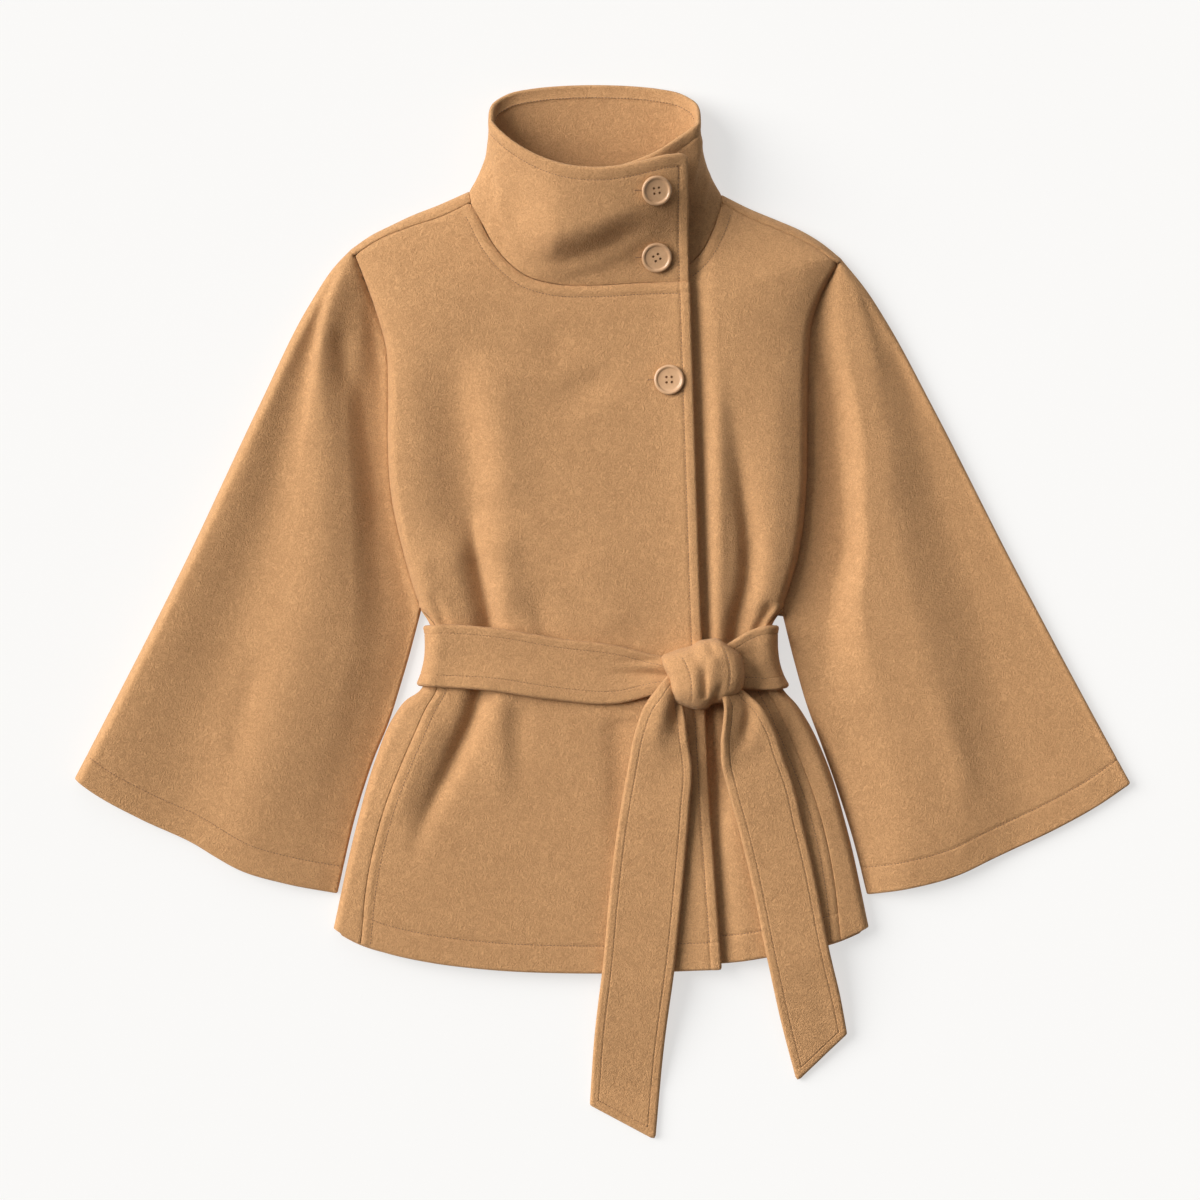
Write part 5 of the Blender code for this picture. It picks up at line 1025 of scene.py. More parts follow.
@dataclass
class Collar:
    """The funnel collar, its flap over its own other end."""

    form: Form
    step: float
    rim_centre_x: float = -7.1
    rim_half_width: float = 94.8
    rim_middle_y: float = 439.6
    rim_front_dip: float = 44.4
    rim_back_rise: float = 34.7
    rim_half_height: float = 36.0
    flap_angle: float = 28.0
    left_angles: tuple[float, float] = (175.0, 190.0)
    right_angles: tuple[float, float] = (350.0, 365.0)
    flap_step: float = 14.0                      # the flap's corner stands off the ring under it
    flap_raise: float = 4.0
    wrap_drop: float = 7.0                       # the underlap lies this far below the flap
    wrap_back: float = 3.5
    side_angles: tuple[float, ...] = (55, 15, -25, -65)
    corner: float = 8.0                          # roundness of the flap's upper corner
    end_sink: float = 6.0                        # the hidden end lies this much lower still
    creases: tuple[Fold, ...] = (
        Fold(((-76, 316), (-40, 313), (-4, 322), (30, 340), (50, 352)), -4.0, 13, 6, 0.4, 0.3),
        Fold(((-99, 398), (-88, 350), (-70, 312)), 1.3, 6, 2.5, 0.3, 0.3),
        Fold(((-104, 420), (-100, 396), (-92, 366)), -1.2, 3, 5, 0.3, 0.3),
        Fold(((89, 430), (85, 404), (80, 378)), 1.6, 1.8, 4, 0.2, 0.3),
        Fold(((96, 398), (93, 378), (88, 354)), 1.6, 1.8, 4, 0.3, 0.3),
    )

    def rim(self, start: float, end: float) -> Line:
        """The rim between two angles in degrees; 90 is the middle of the front."""
        angle = np.radians(np.linspace(start, end, 200))
        cosine, sine = np.cos(angle), np.sin(angle)
        size = np.abs(sine)
        dip = self.rim_front_dip * size ** np.where(cosine < 0, 1.6, 1.3)
        y = self.rim_middle_y + np.where(sine > 0, -dip, self.rim_back_rise * size ** 0.5)
        z = self.rim_half_height * (1 + np.where(sine > 0, size ** 0.9, -size ** 0.6))
        return Line(np.stack([self.rim_centre_x + self.rim_half_width * cosine, y, z], -1))

    def side_band(self, side: Side) -> Array:
        """The base round the fold at one side of the neck, from the front down to the back."""
        fold, roll = self.form.lines["fold"][side], self.form.shoulder_roll
        seam = self.form.lines["neck"][side].at(0.0)
        beyond = fold.points[-1] - fold.points[-2]
        apex = fold.points[-1] + beyond / np.linalg.norm(beyond)
        unit = (seam - apex) / np.linalg.norm(seam - apex)
        angle = np.radians(self.side_angles)[:, None]
        plan = apex + unit * roll * (1 - np.cos(angle))
        top = self.form.front(plan, side)[:, None]
        lift = np.sin(angle)
        return np.concatenate([plan, roll + np.where(lift > 0, (top - roll) * lift, roll * lift)], axis=1)

    def edges(self) -> tuple[Array, Array, Array]:
        """The collar's lower and upper edge, and how much each place belongs to the front."""
        shares = np.linspace(0, 1, 12)
        flap_plan = self.form.lines["neck"][Side.RIGHT].shifted(SEAM_GAP).at(1 - shares)
        flap_base = raised(flap_plan, self.form.front(flap_plan, Side.RIGHT))
        plain_rim = self.rim(self.flap_angle, self.left_angles[0]).at(shares ** 0.85)
        flap_rim = plain_rim.copy()
        stand = np.clip((flap_rim[:, 0] - 15.0) / 61.5, 0, 1)
        flap_rim[:, 1] -= self.flap_step * stand ** 4
        flap_rim[:, 2] += self.flap_raise * stand ** 2
        back_shares = np.linspace(0, 1, 10)
        back_plan = self.form.neck_back.at(back_shares) + (0.0, 0.6)
        back_plan[0] += 0.2 * (back_plan[1] - back_plan[0]) + (0.0, 1.0)
        back_plan[-1] += 0.2 * (back_plan[-2] - back_plan[-1]) + (0.0, 1.0)
        back_rim = self.rim(self.left_angles[1], self.right_angles[0]).at(back_shares)
        band_shares = np.linspace(0, 1, len(self.side_angles) + 2)[1:-1]
        lap_plan = self.form.lines["neck"][Side.LEFT].shifted(-SEAM_GAP).at(shares)
        sunk = 1.6 * ease((85.0 - lap_plan[:, 0]) / 30.0)
        lap_base = raised(lap_plan, self.form.front(lap_plan, Side.LEFT) - sunk)
        covered = lap_plan[:, 0] < flap_plan[0, 0]
        free_share = shares[covered][0]
        lap_rim = self.rim(self.right_angles[1], 360 + self.flap_angle).at(shares / free_share)
        lap_rim[covered] = np.stack([np.interp(lap_plan[covered, 0], flap_plan[::-1, 0], axis[::-1])
                                     for axis in plain_rim.T], -1)
        along = np.gradient(lap_rim, axis=0)
        outward = np.stack([-along[:, 2], np.zeros(len(shares)), along[:, 0]], -1)
        outward *= np.sign(outward[-3:, 2].mean())
        outward /= np.linalg.norm(outward, axis=1)[:, None]
        lap_rim += ease(shares / free_share)[:, None] * (np.array([0, self.wrap_back, 0]) - self.wrap_drop * outward)
        sink = self.end_sink * ease((55.0 - lap_rim[:, 0]) / 70.0)
        lap_rim -= sink[:, None] * np.array([0.0, 0.9, 1.0])
        base = np.concatenate([flap_base, self.side_band(Side.RIGHT), raised(back_plan, np.zeros(10)),
                               self.side_band(Side.LEFT)[::-1], lap_base])
        rim = np.concatenate([flap_rim, self.rim(*self.left_angles).at(band_shares), back_rim,
                              self.rim(*self.right_angles).at(band_shares), lap_rim])
        front = np.concatenate([np.ones(12), np.zeros(len(base) - 24), np.ones(12)])
        spans = 6
        fine = np.linspace(0, len(front) - 1, spans * (len(front) - 1) + 1)
        return smooth_line(base, spans), smooth_line(rim, spans), np.interp(fine, np.arange(len(front)), front)

    def grid(self) -> Array:
        """Outer face of the collar, in rows from the neck seam up to the rim."""
        base, rim, front = self.edges()
        up = np.linspace(0, 1, 60)[:, None]
        across = base[:, 0]
        dent = front * ease((across + 95.0) / 50.0) * ease((115.0 - across) / 35.0)
        middle = np.interp(across, (-50, 70), (0.2, 0.5))
        bent = 0.45 * up + 0.55 * ease(2 * (up - middle) + 0.5)
        bent = (bent - bent[:1]) / (bent[-1:] - bent[:1])
        climb = (1 - dent) * up ** 1.1 + dent * bent
        x = rim[:, 0] + (base[:, 0] - rim[:, 0]) * (1 - up) ** 2.6
        y = base[:, 1] + (rim[:, 1] - base[:, 1]) * up
        z = base[:, 2] + (rim[:, 2] - base[:, 2]) * climb
        whole = np.stack([x, y, z], -1)
        whole = spaced(whole, self.step, EDGE_STEPS, (0.0,))
        round_end = self.corner * (1 - quarter(np.array(EDGE_STEPS) / self.corner))
        for column, cut in enumerate(round_end):
            run = whole[:, column] - whole[0, column]
            whole[:, column] = whole[0, column] + run * (1 - cut / np.linalg.norm(run[-1]))
        return spaced_rows(whole, self.step, (0.0, 0.5, 1.2, 2.2, 3.6), RIM_STEPS)

    def shell(self) -> Shell:
        """The collar as a wall of cloth."""
        grid = self.grid()
        columns = grid.shape[1]
        run = np.linalg.norm(np.diff(grid, axis=0), axis=2)
        below_rim = np.concatenate([np.cumsum(run[::-1], axis=0)[::-1], np.zeros((1, columns))]) + 2.2
        run = np.linalg.norm(np.diff(grid, axis=1), axis=2)
        from_edge = np.concatenate([np.zeros((len(grid), 1)), np.cumsum(run, axis=1)], axis=1) + 2.0
        above_seam = np.concatenate([np.zeros((1, columns)),
                                     np.cumsum(np.linalg.norm(np.diff(grid, axis=0), axis=2), axis=0)])
        within, below = from_edge > EDGE_STITCH - 0.8, below_rim > RIM_STITCH - 0.8
        relief = grooved(below_rim, RIM_STITCH) * within + grooved(from_edge, EDGE_STITCH) * below
        relief += padded_band(np.minimum(below_rim, from_edge), 0, EDGE_STITCH)
        relief -= SEAM_DIP * bell(above_seam, 2.2)
        relief += folded(self.creases, grid[..., :2]) * ease((grid[..., 2] - 9) / 4) * ease((below_rim - 2) / 10)
        up = np.linspace(0, 1, len(grid))[:, None]
        thickness = CLOTH + (COLLAR_CLOTH - CLOTH) * ease(up / 0.9) * np.ones((1, columns))
        sample = np.s_[:, 10:columns // 4]
        return Shell("collar", grid, thickness, relief, sample=sample)

    def sew(self, shell: Shell, sewing: Stitching) -> None:
        """Stitch the flap's end and all round the rim, on the face that looks up."""
        row, column = -1 - RIM_STEPS.index(RIM_STITCH), EDGE_STEPS.index(EDGE_STITCH)
        sewing.along(shell, np.s_[2:row + 1, column])
        up = shell.normals[row, :, 2]
        front = int(np.argmax(up[column:] < 0.25)) + column
        sewing.along(shell, np.s_[row, column:front])
        behind = np.flatnonzero(up < -0.1)
        sewing.run(shell.inner[row, behind], -shell.normals[row, behind])


class Surface:
    """The faces of finished pieces seen from above, for what lies on them."""

    def __init__(self, *pieces: bpy.types.Object) -> None:
        """Gather the pieces' faces."""
        points, faces = [], []
        for piece in pieces:
            start = len(points)
            points += [vertex.co / MM for vertex in piece.data.vertices]
            faces += [[start + index for index in face.vertices] for face in piece.data.polygons]
        self.tree = BVHTree.FromPolygons(points, faces)

    def height(self, plan: Array) -> Array:
        """Height of the topmost face at points in plan, or 0 beside the pieces."""
        heights = np.zeros(plan.shape[:-1])
        for index in np.ndindex(heights.shape):
            hit = self.tree.ray_cast(Vector((*plan[index], 120.0)), Vector((0, 0, -1)))[0]
            heights[index] = hit.z if hit else 0.0
        return heights

    def drape(self, plan: Array, reach: float, steps: int = 12) -> Array:
        """Heights that clear everything within reach of each point in plan."""
        heights = self.height(plan)
        for turn in np.linspace(0, 2 * np.pi, steps, endpoint=False):
            for radius in (reach / 2, reach):
                aside = radius * np.array([math.cos(turn), math.sin(turn)])
                heights = np.maximum(heights, self.height(plan + aside))
        return heights


def finer(grid: Array, spans: int) -> Array:
    """A coarse grid of points read smoothly, with more points both ways."""
    rows = np.stack([smooth_line(row, spans) for row in grid])
    return np.stack([smooth_line(column, spans) for column in rows.swapaxes(0, 1)], 1)


BELT_FRONT = Profile(
    "top bottom",
    (-164, -11.5, -66), (-145, -10.5, -67), (-101, -13, -70), (-38, -23, -79), (15, -29.5, -81.5),
    (48, -38, -74), (75, -42, -70), (112, -28, -68), (132, -16, -68), (150, -11, -69), (163, -11.5, -69))


@dataclass
class Belt:
    """The belt's turn round the waist."""

    form: Form
    on: Surface
    reach: float = 15.5
    span: tuple[float, float] = (-157.0, 157.0)
    back_y: float = -39.0
    back_half: float = 28.0
    front_steps: int = 40
    side_steps: int = 8
    rows: int = 8
    low_stitch: float = 11.5
    high_stitch: float = 8.0
    low_steps: tuple[float, ...] = (2.4, 3.4, 5.0, 7.5, 10.3, 11.0, 11.5, 12.0, 12.7, 15.0)
    high_steps: tuple[float, ...] = (2.4, 3.4, 5.0, 6.8, 7.5, 8.0, 8.5, 9.2, 11.0)
    creases: tuple[Fold, ...] = (
        Fold(((66, -57), (35, -54.5), (-5, -52)), -4.0, 4, 7, 0.05, 0.7, 0.4),
        Fold(((64, -40), (35, -43), (-10, -43)), -2.2, 4, 5, 0.05, 0.7, 0.3),
        Fold(((62, -49), (30, -48), (-10, -47)), 1.6, 5, 5, 0.05, 0.7),
        Fold(((62, -66), (40, -66), (15, -66)), 1.8, 5, 5, 0.1, 0.6),
        Fold(((108, -43), (122, -41), (138, -38)), -2.4, 5, 6, 0.05, 0.7),
    )

    def front_y(self, x: Array | float, across: float) -> Array:
        """Y of the front stretch, from its lower edge at -1 to its upper edge at 1."""
        top, bottom = BELT_FRONT.read("top", x), BELT_FRONT.read("bottom", x)
        return (top + bottom) / 2 + across * (top - bottom) / 2

    def grid(self) -> Array:
        """The belt's inner face: rows across it, columns once round the waist."""
        angle = np.linspace(np.pi / 2, -np.pi / 2, self.side_steps + 1)
        rows = []
        for across in np.linspace(-1, 1, self.rows + 1):
            ends = {}
            for side, x in zip(Side, self.span):
                y = float(self.front_y(x, across))
                low, roll = (float(BODY_PROFILE.read(name, y)) for name in ("low", "roll"))
                ends[side] = (float(self.form.lines["body"][side].x_at(y)), y, low, roll)
            start = ends[Side.RIGHT][0] + ends[Side.RIGHT][3]
            stop = ends[Side.LEFT][0] - ends[Side.LEFT][3]
            x = np.linspace(start, stop, self.front_steps + 1)
            plan = np.stack([x, self.front_y(x, across)], -1)
            level = self.on.drape(plan, self.reach)
            level = np.lib.stride_tricks.sliding_window_view(np.pad(level, 2, mode="edge"), 5).max(axis=1)
            level = np.convolve(np.pad(level, 2, mode="edge"), np.ones(5) / 5, mode="valid")
            front = raised(plan, level + LAY)
            turns = {}
            for side, level in ((Side.RIGHT, front[0, 2]), (Side.LEFT, front[-1, 2])):
                apex, y, low, roll = ends[side]
                lift = np.sin(angle)
                plan_x = apex + side.inward * (roll - (roll + 1.5) * np.cos(angle))
                z = low + np.where(lift > 0, (level - low) * lift, (low - BELT_CLOTH) * lift)
                back = self.back_y + across * self.back_half
                turns[side] = np.stack([plan_x, y + (back - y) * ease((1 - lift) / 2), z], -1)
            back_x = np.linspace(turns[Side.LEFT][-1, 0], turns[Side.RIGHT][-1, 0], 21)
            back_row = np.stack([back_x, np.full(21, self.back_y + across * self.back_half),
                                 np.full(21, BELT_CLOTH)], -1)
            rows.append(np.concatenate([front, turns[Side.LEFT][1:], back_row[1:-1], turns[Side.RIGHT][:0:-1]]))
        return np.array(rows)

    def shell(self) -> Shell:
        """The belt as a band of two layers with round edges."""
        coarse = self.grid()
        ring = np.concatenate([coarse, coarse[:, :1]], axis=1)
        fine = finer(ring, 4)[:, :-1]
        fine = spaced_rows(fine, 2.0, self.low_steps, self.high_steps)
        cells = np.ones((fine.shape[0] - 1, fine.shape[1]), dtype=bool)
        normals = grid_normals(fine, cells, True)
        normals *= np.sign(normals[:, 8:self.front_steps * 3, 2].mean())
        sample = np.s_[:, 8:self.front_steps * 3]
        relief = np.zeros(fine.shape[:2])
        for row in (self.low_steps.index(self.low_stitch), -1 - self.high_steps.index(self.high_stitch)):
            relief[row] = -0.6
        front = self.front_steps * 4
        relief[:, :front] += folded(self.creases, fine[:, :front, :2])
        return Shell("belt_waist", fine + BELT_CLOTH * normals, BELT_CLOTH, relief, ring=True, sample=sample)

    def sew(self, shell: Shell, sewing: Stitching) -> None:
        """Stitch along both edges of the front stretch."""
        for row in (self.low_steps.index(self.low_stitch), -1 - self.high_steps.index(self.high_stitch)):
            sewing.along(shell, np.s_[row, 0:self.front_steps * 4])


class TailRow(NamedTuple):
    """A cross-section of a belt tail: its left and its right edge."""

    left_x: float
    left_y: float
    right_x: float
    right_y: float


TAIL_ROWS: dict[Side, tuple[TailRow, ...]] = {
    Side.RIGHT: (
        TailRow(66, -48, 82, -62), TailRow(52, -64, 72, -77), TailRow(38, -82, 74, -97),
        TailRow(28, -110, 77, -118), TailRow(22, -142, 80, -140), TailRow(16.4, -173, 78, -175),
        TailRow(6, -255, 71.5, -250), TailRow(1, -310, 65.7, -310), TailRow(-7.6, -385.6, 55.8, -385.6),
        TailRow(-11.2, -443, 47.3, -474.2)),
    Side.LEFT: (
        TailRow(98, -62, 112, -52), TailRow(108, -78, 126, -70), TailRow(108, -94, 141, -83),
        TailRow(105.6, -115, 155, -108), TailRow(106, -130, 162, -130), TailRow(110.7, -153, 170, -151),
        TailRow(121, -190, 179, -188), TailRow(132, -235, 189, -230), TailRow(147.7, -310.5, 205, -310),
        TailRow(160.4, -367.7, 213, -343), TailRow(175, -422, 219.5, -379)),
}


TAIL_STITCH = 8.0
TAIL_STEPS = (2.4, 3.2, 4.6, 6.4, 7.4, 8.0, 8.6, 9.6, 11.5)
TAIL_FOLDS: dict[Side, tuple[Fold, ...]] = {
    Side.RIGHT: (
        Fold(((72, -66), (66, -92), (69, -122)), -7.0, 6, 6, 0, 0.6, 0.3),
        Fold(((57, -70), (49, -100), (44, -135)), 4.0, 9, 9, 0, 0.6),
    ),
    Side.LEFT: (
        Fold(((122, -66), (131, -87), (128, -108), (118, -132)), -5.5, 6, 7, 0, 0.5, 0.3),
        Fold(((110, -66), (109, -90), (108, -115), (113, -150)), 4.5, 5, 5, 0, 0.5),
        Fold(((140, -86), (156, -118), (166, -150)), 2.0, 8, 8, 0, 0.6),
    ),
}


@dataclass
class Tail:
    """One hanging end of the belt, over the front and on to the table."""

    side: Side
    on: Surface
    step: float
    reach: float = 15.5
    fall: float = 0.16                           # steepest way down from the hem to the table
    lift: float = 6.0                            # it stands off the cloth below the knot
    lift_length: float = 190.0

    def shell(self) -> Shell:
        """The end as a band of two layers with round edges."""
        rows = np.array(TAIL_ROWS[self.side], dtype=float)
        lefts, rights = smooth_line(rows[:, :2], 6), smooth_line(rows[:, 2:], 6)
        share = np.linspace(0, 1, 7)[None, :, None]
        plan = lefts[:, None] * (1 - share) + rights[:, None] * share
        under = self.on.drape(plan, self.reach) + LAY
        under[under <= LAY] = 0.0
        steps = np.linalg.norm(np.diff(plan, axis=0), axis=2)
        for row, run in enumerate(steps, start=1):
            under[row] = np.maximum(under[row], under[row - 1] - self.fall * run)
        from_knot = np.concatenate([np.zeros((1, plan.shape[1])), np.cumsum(steps, axis=0)])
        under += self.lift * ease(from_knot / 25) * ease(1 - from_knot / self.lift_length)
        fine = finer(raised(plan, under), 4)
        fine = spaced(fine, self.step, TAIL_STEPS, TAIL_STEPS)
        fine = spaced_rows(fine, self.step, (0.0,), TAIL_STEPS)
        fine[..., 2] = np.maximum(fine[..., 2], 0.0)
        relief = folded(TAIL_FOLDS[self.side], fine[..., :2])
        stitched = TAIL_STEPS.index(TAIL_STITCH)
        for line in (np.s_[:-stitched, stitched], np.s_[:-stitched, -1 - stitched],
                     np.s_[-1 - stitched, stitched:-stitched]):
            relief[line] -= 0.6
        return Shell("belt_tail_" + self.side.value, fine + (0, 0, BELT_CLOTH), BELT_CLOTH, relief)

    def sew(self, shell: Shell, sewing: Stitching) -> None:
        """Stitch both long edges and the slanted end."""
        line = TAIL_STEPS.index(TAIL_STITCH)
        sewing.along(shell, np.s_[2:-line, line])
        sewing.along(shell, np.s_[2:-line, -1 - line])
        sewing.along(shell, np.s_[-1 - line, line:-line])


@dataclass
class Knot:
    """The knot: the belt's strap wrapped once over itself and both tails."""

    on: Surface
    steps: int = 90
    top: Knots = ((57.5, -37.4), (68, -33.5), (80, -30), (86, -26), (94, -24.5), (103.5, -24), (111, -28.5))
    bottom: Knots = ((69.5, -82.5), (78, -85), (88, -86.4), (93, -85.2), (98.5, -81), (107.5, -79.5), (114, -76.5))
    left: Knots = ((69.5, -82.5), (67, -71), (65.3, -55), (61.2, -45.5), (57.5, -37.4))
    right: Knots = ((114, -76.5), (117.8, -69), (119.3, -59), (119, -50.5), (116.5, -37), (111, -28.5))
    rim: float = 6.0                             # thickness at the strap's two edges
    rise: float = 17.0                           # how much its middle stands above its wrapped ends
    crown: float = 4.0                           # how much its middle stands above its two edges
    folds: tuple[Fold, ...] = (
        Fold(((91, -46), (91.5, -60), (92, -78)), -2.6, 2.0, 4.2, 0.5, 0.1),
        Fold(((83, -40), (82, -58), (84, -80)), 1.6, 5, 5),
        Fold(((99, -34), (98, -55), (97, -78)), 1.8, 6, 5, 0.2, 0.1),
        Fold(((100.5, -82), (103, -72), (108, -58)), -2.6, 2.6, 3.2, 0.05, 0.6),
        Fold(((95, -24), (98, -34), (103, -42)), -2.0, 3, 4, 0.1, 0.6),
        Fold(((86, -29), (80, -36), (76, -41)), -1.2, 4, 4, 0.1, 0.5),
    )
    stitched: tuple[Knots, ...] = (
        ((69.5, -37.5), (73.6, -44.6), (77.8, -56), (79.8, -77)),
        ((107, -29), (112, -42.5), (113.5, -56), (112.5, -68)),
    )

    def shell(self) -> Shell:
        """The strap as one closed lump over what it ties."""
        shares = np.linspace(0, 1, self.steps)
        edges = [Line.through(knots).at(shares) for knots in (self.bottom, self.top, self.left, self.right)]
        plan = patch(*edges)
        u = np.linspace(-1, 1, self.steps)[None, :]
        v = np.linspace(-1, 1, self.steps)[:, None]
        level = float(self.on.height(np.array([(90.0, -54.5)]))[0])
        wrap = np.clip(1 - np.abs(v) ** 2.6, 0, 1) ** 0.62
        across = np.clip(1 - np.abs(u) ** 3, 0, 1)
        top = level + self.rim - 3 + self.rise * wrap + self.crown * across * wrap
        relief = folded(self.folds, plan) * wrap
        for line in self.stitched:
            relief += grooved(Line.through(line).gap(plan), 0.0, 0.7, 1.2) * wrap
        under = np.maximum(level - 9 + 9 * wrap, 4)
        outer = raised(plan, top + relief)
        return Shell("belt_knot", outer, inner=raised(plan, np.minimum(under, top - self.rim)), bulge=0.8)

    def sew(self, top: Surface, sewing: Stitching) -> None:
        """Stitch the strap's two edges."""
        for knots in self.stitched:
            sewing.over(top, Line.through(knots).at(np.linspace(0.06, 0.94, 24)))


BUTTON_SECTION: tuple[tuple[float, float], ...] = (
    (12.1, 0.0), (13.1, 0.35), (13.5, 1.1), (13.5, 2.1), (13.3, 2.8), (12.8, 3.25), (12.0, 3.4), (11.2, 3.3),
    (10.7, 2.95), (10.35, 2.5), (9.9, 2.3), (9.0, 2.2), (6.5, 2.0), (4.0, 1.95), (0.6, 1.95))


@dataclass
class Button:
    """A four-hole button that lies against the cloth under it."""

    name: str
    x: float
    y: float
    turn: float
    on: Surface
    steps: int = 96
    hole: float = 1.1
    hole_spacing: float = 4.7
    seat: float = 0.3
    slit: float = 4.5                            # how much of the buttonhole shows

    def place(self) -> Matrix:
        """Where the button lies: level with the cloth round it."""
        rim = BUTTON_SECTION[0][0]
        turns = np.linspace(0, 2 * np.pi, 16, endpoint=False)
        offsets = np.concatenate([[(0.0, 0.0)]] + [radius * np.stack([np.cos(turns), np.sin(turns)], -1)
                                                   for radius in (rim / 2, rim)])
        heights = self.on.height(offsets + (self.x, self.y))
        slope = np.linalg.lstsq(np.column_stack([offsets, np.ones(len(offsets))]), heights, rcond=None)[0]
        level = float((heights - offsets @ slope[:2]).max()) + self.seat
        tilt = Vector((0, 0, 1)).rotation_difference(Vector((-slope[0], -slope[1], 1.0))).to_matrix().to_4x4()
        spot = Matrix.Translation(Vector((self.x, self.y, level)) * MM)
        return spot @ tilt @ Matrix.Rotation(math.radians(self.turn), 4, "Z")

    def turned(self) -> bpy.types.Mesh:
        """The button without its holes."""
        turns = np.linspace(0, 2 * np.pi, self.steps, endpoint=False)
        rings = [np.stack([radius * np.cos(turns), radius * np.sin(turns), np.full(self.steps, height)], -1)
                 for radius, height in BUTTON_SECTION]
        index = np.arange(len(rings) * self.steps).reshape(len(rings), self.steps)
        after = np.roll(index, -1, axis=1)
        sides = np.stack([index[:-1], after[:-1], after[1:], index[1:]], -1).reshape(-1, 4)
        faces = sides.tolist() + [index[0, ::-1].tolist(), index[-1].tolist()]
        mesh = bpy.data.meshes.new(self.name)
        mesh.from_pydata((np.concatenate(rings) * MM).tolist(), [], faces)
        return mesh

    def holes(self) -> bpy.types.Mesh:
        """Four upright rods that cut the holes."""
        shape = bmesh.new()
        for x_sign in (-1, 1):
            for y_sign in (-1, 1):
                middle = Vector((x_sign, y_sign, 0)) * self.hole_spacing / 2 + Vector((0, 0, 2))
                bmesh.ops.create_cone(shape, cap_ends=True, segments=20, radius1=self.hole * MM,
                                      radius2=self.hole * MM, depth=12 * MM,
                                      matrix=Matrix.Translation(middle * MM))
        mesh = bpy.data.meshes.new(self.name + "_holes")
        shape.to_mesh(mesh)
        shape.free()
        return mesh

    def sew(self, sewing: Stitching) -> None:
        """Draw the buttonhole beside the button, and its bar; the stitches along the slit are painted shade for the
        dark cut.
        """
        start = self.x - BUTTON_SECTION[2][0] - self.slit
        up, ahead, aside = np.eye(3)[[2, 0, 1]]
        # painted shade: a row of dark thread stitches along the slit's middle stands in for the shade inside the cut
        for x in np.arange(start, start + self.slit + 3, 1.1):
            place = np.array([x, self.y])
            sewing.across(np.array([*place, float(self.on.height(place[None])[0]) - 0.15]), ahead, up)
        place = np.array([start - 0.8, self.y])
        sewing.across(np.array([*place, float(self.on.height(place[None])[0]) - 0.1]), aside, up)

    def object(self, material: bpy.types.Material) -> bpy.types.Object:
        """Make the button.

        Args:
            material: its finish.

        Returns:
            The new object, its mesh in place.
        """
        scene = bpy.context.scene
        blank = bpy.data.objects.new(self.name + "_blank", self.turned())
        rods = bpy.data.objects.new(self.name + "_rods", self.holes())
        for item in (blank, rods):
            scene.collection.objects.link(item)
        cut = blank.modifiers.new("holes", "BOOLEAN")
        cut.operation, cut.solver, cut.object = "DIFFERENCE", "EXACT", rods
        bpy.context.view_layer.update()
        mesh = bpy.data.meshes.new_from_object(blank.evaluated_get(bpy.context.evaluated_depsgraph_get()))
        for item in (blank, rods):
            bpy.data.objects.remove(item)
        mesh.transform(self.place())
        mesh.name = self.name
        mesh.materials.clear()
        mesh.materials.append(material)
        mesh.shade_smooth()
        mesh.set_sharp_from_angle(angle=math.radians(40))
        piece = bpy.data.objects.new(self.name, mesh)
        scene.collection.objects.link(piece)
        return piece


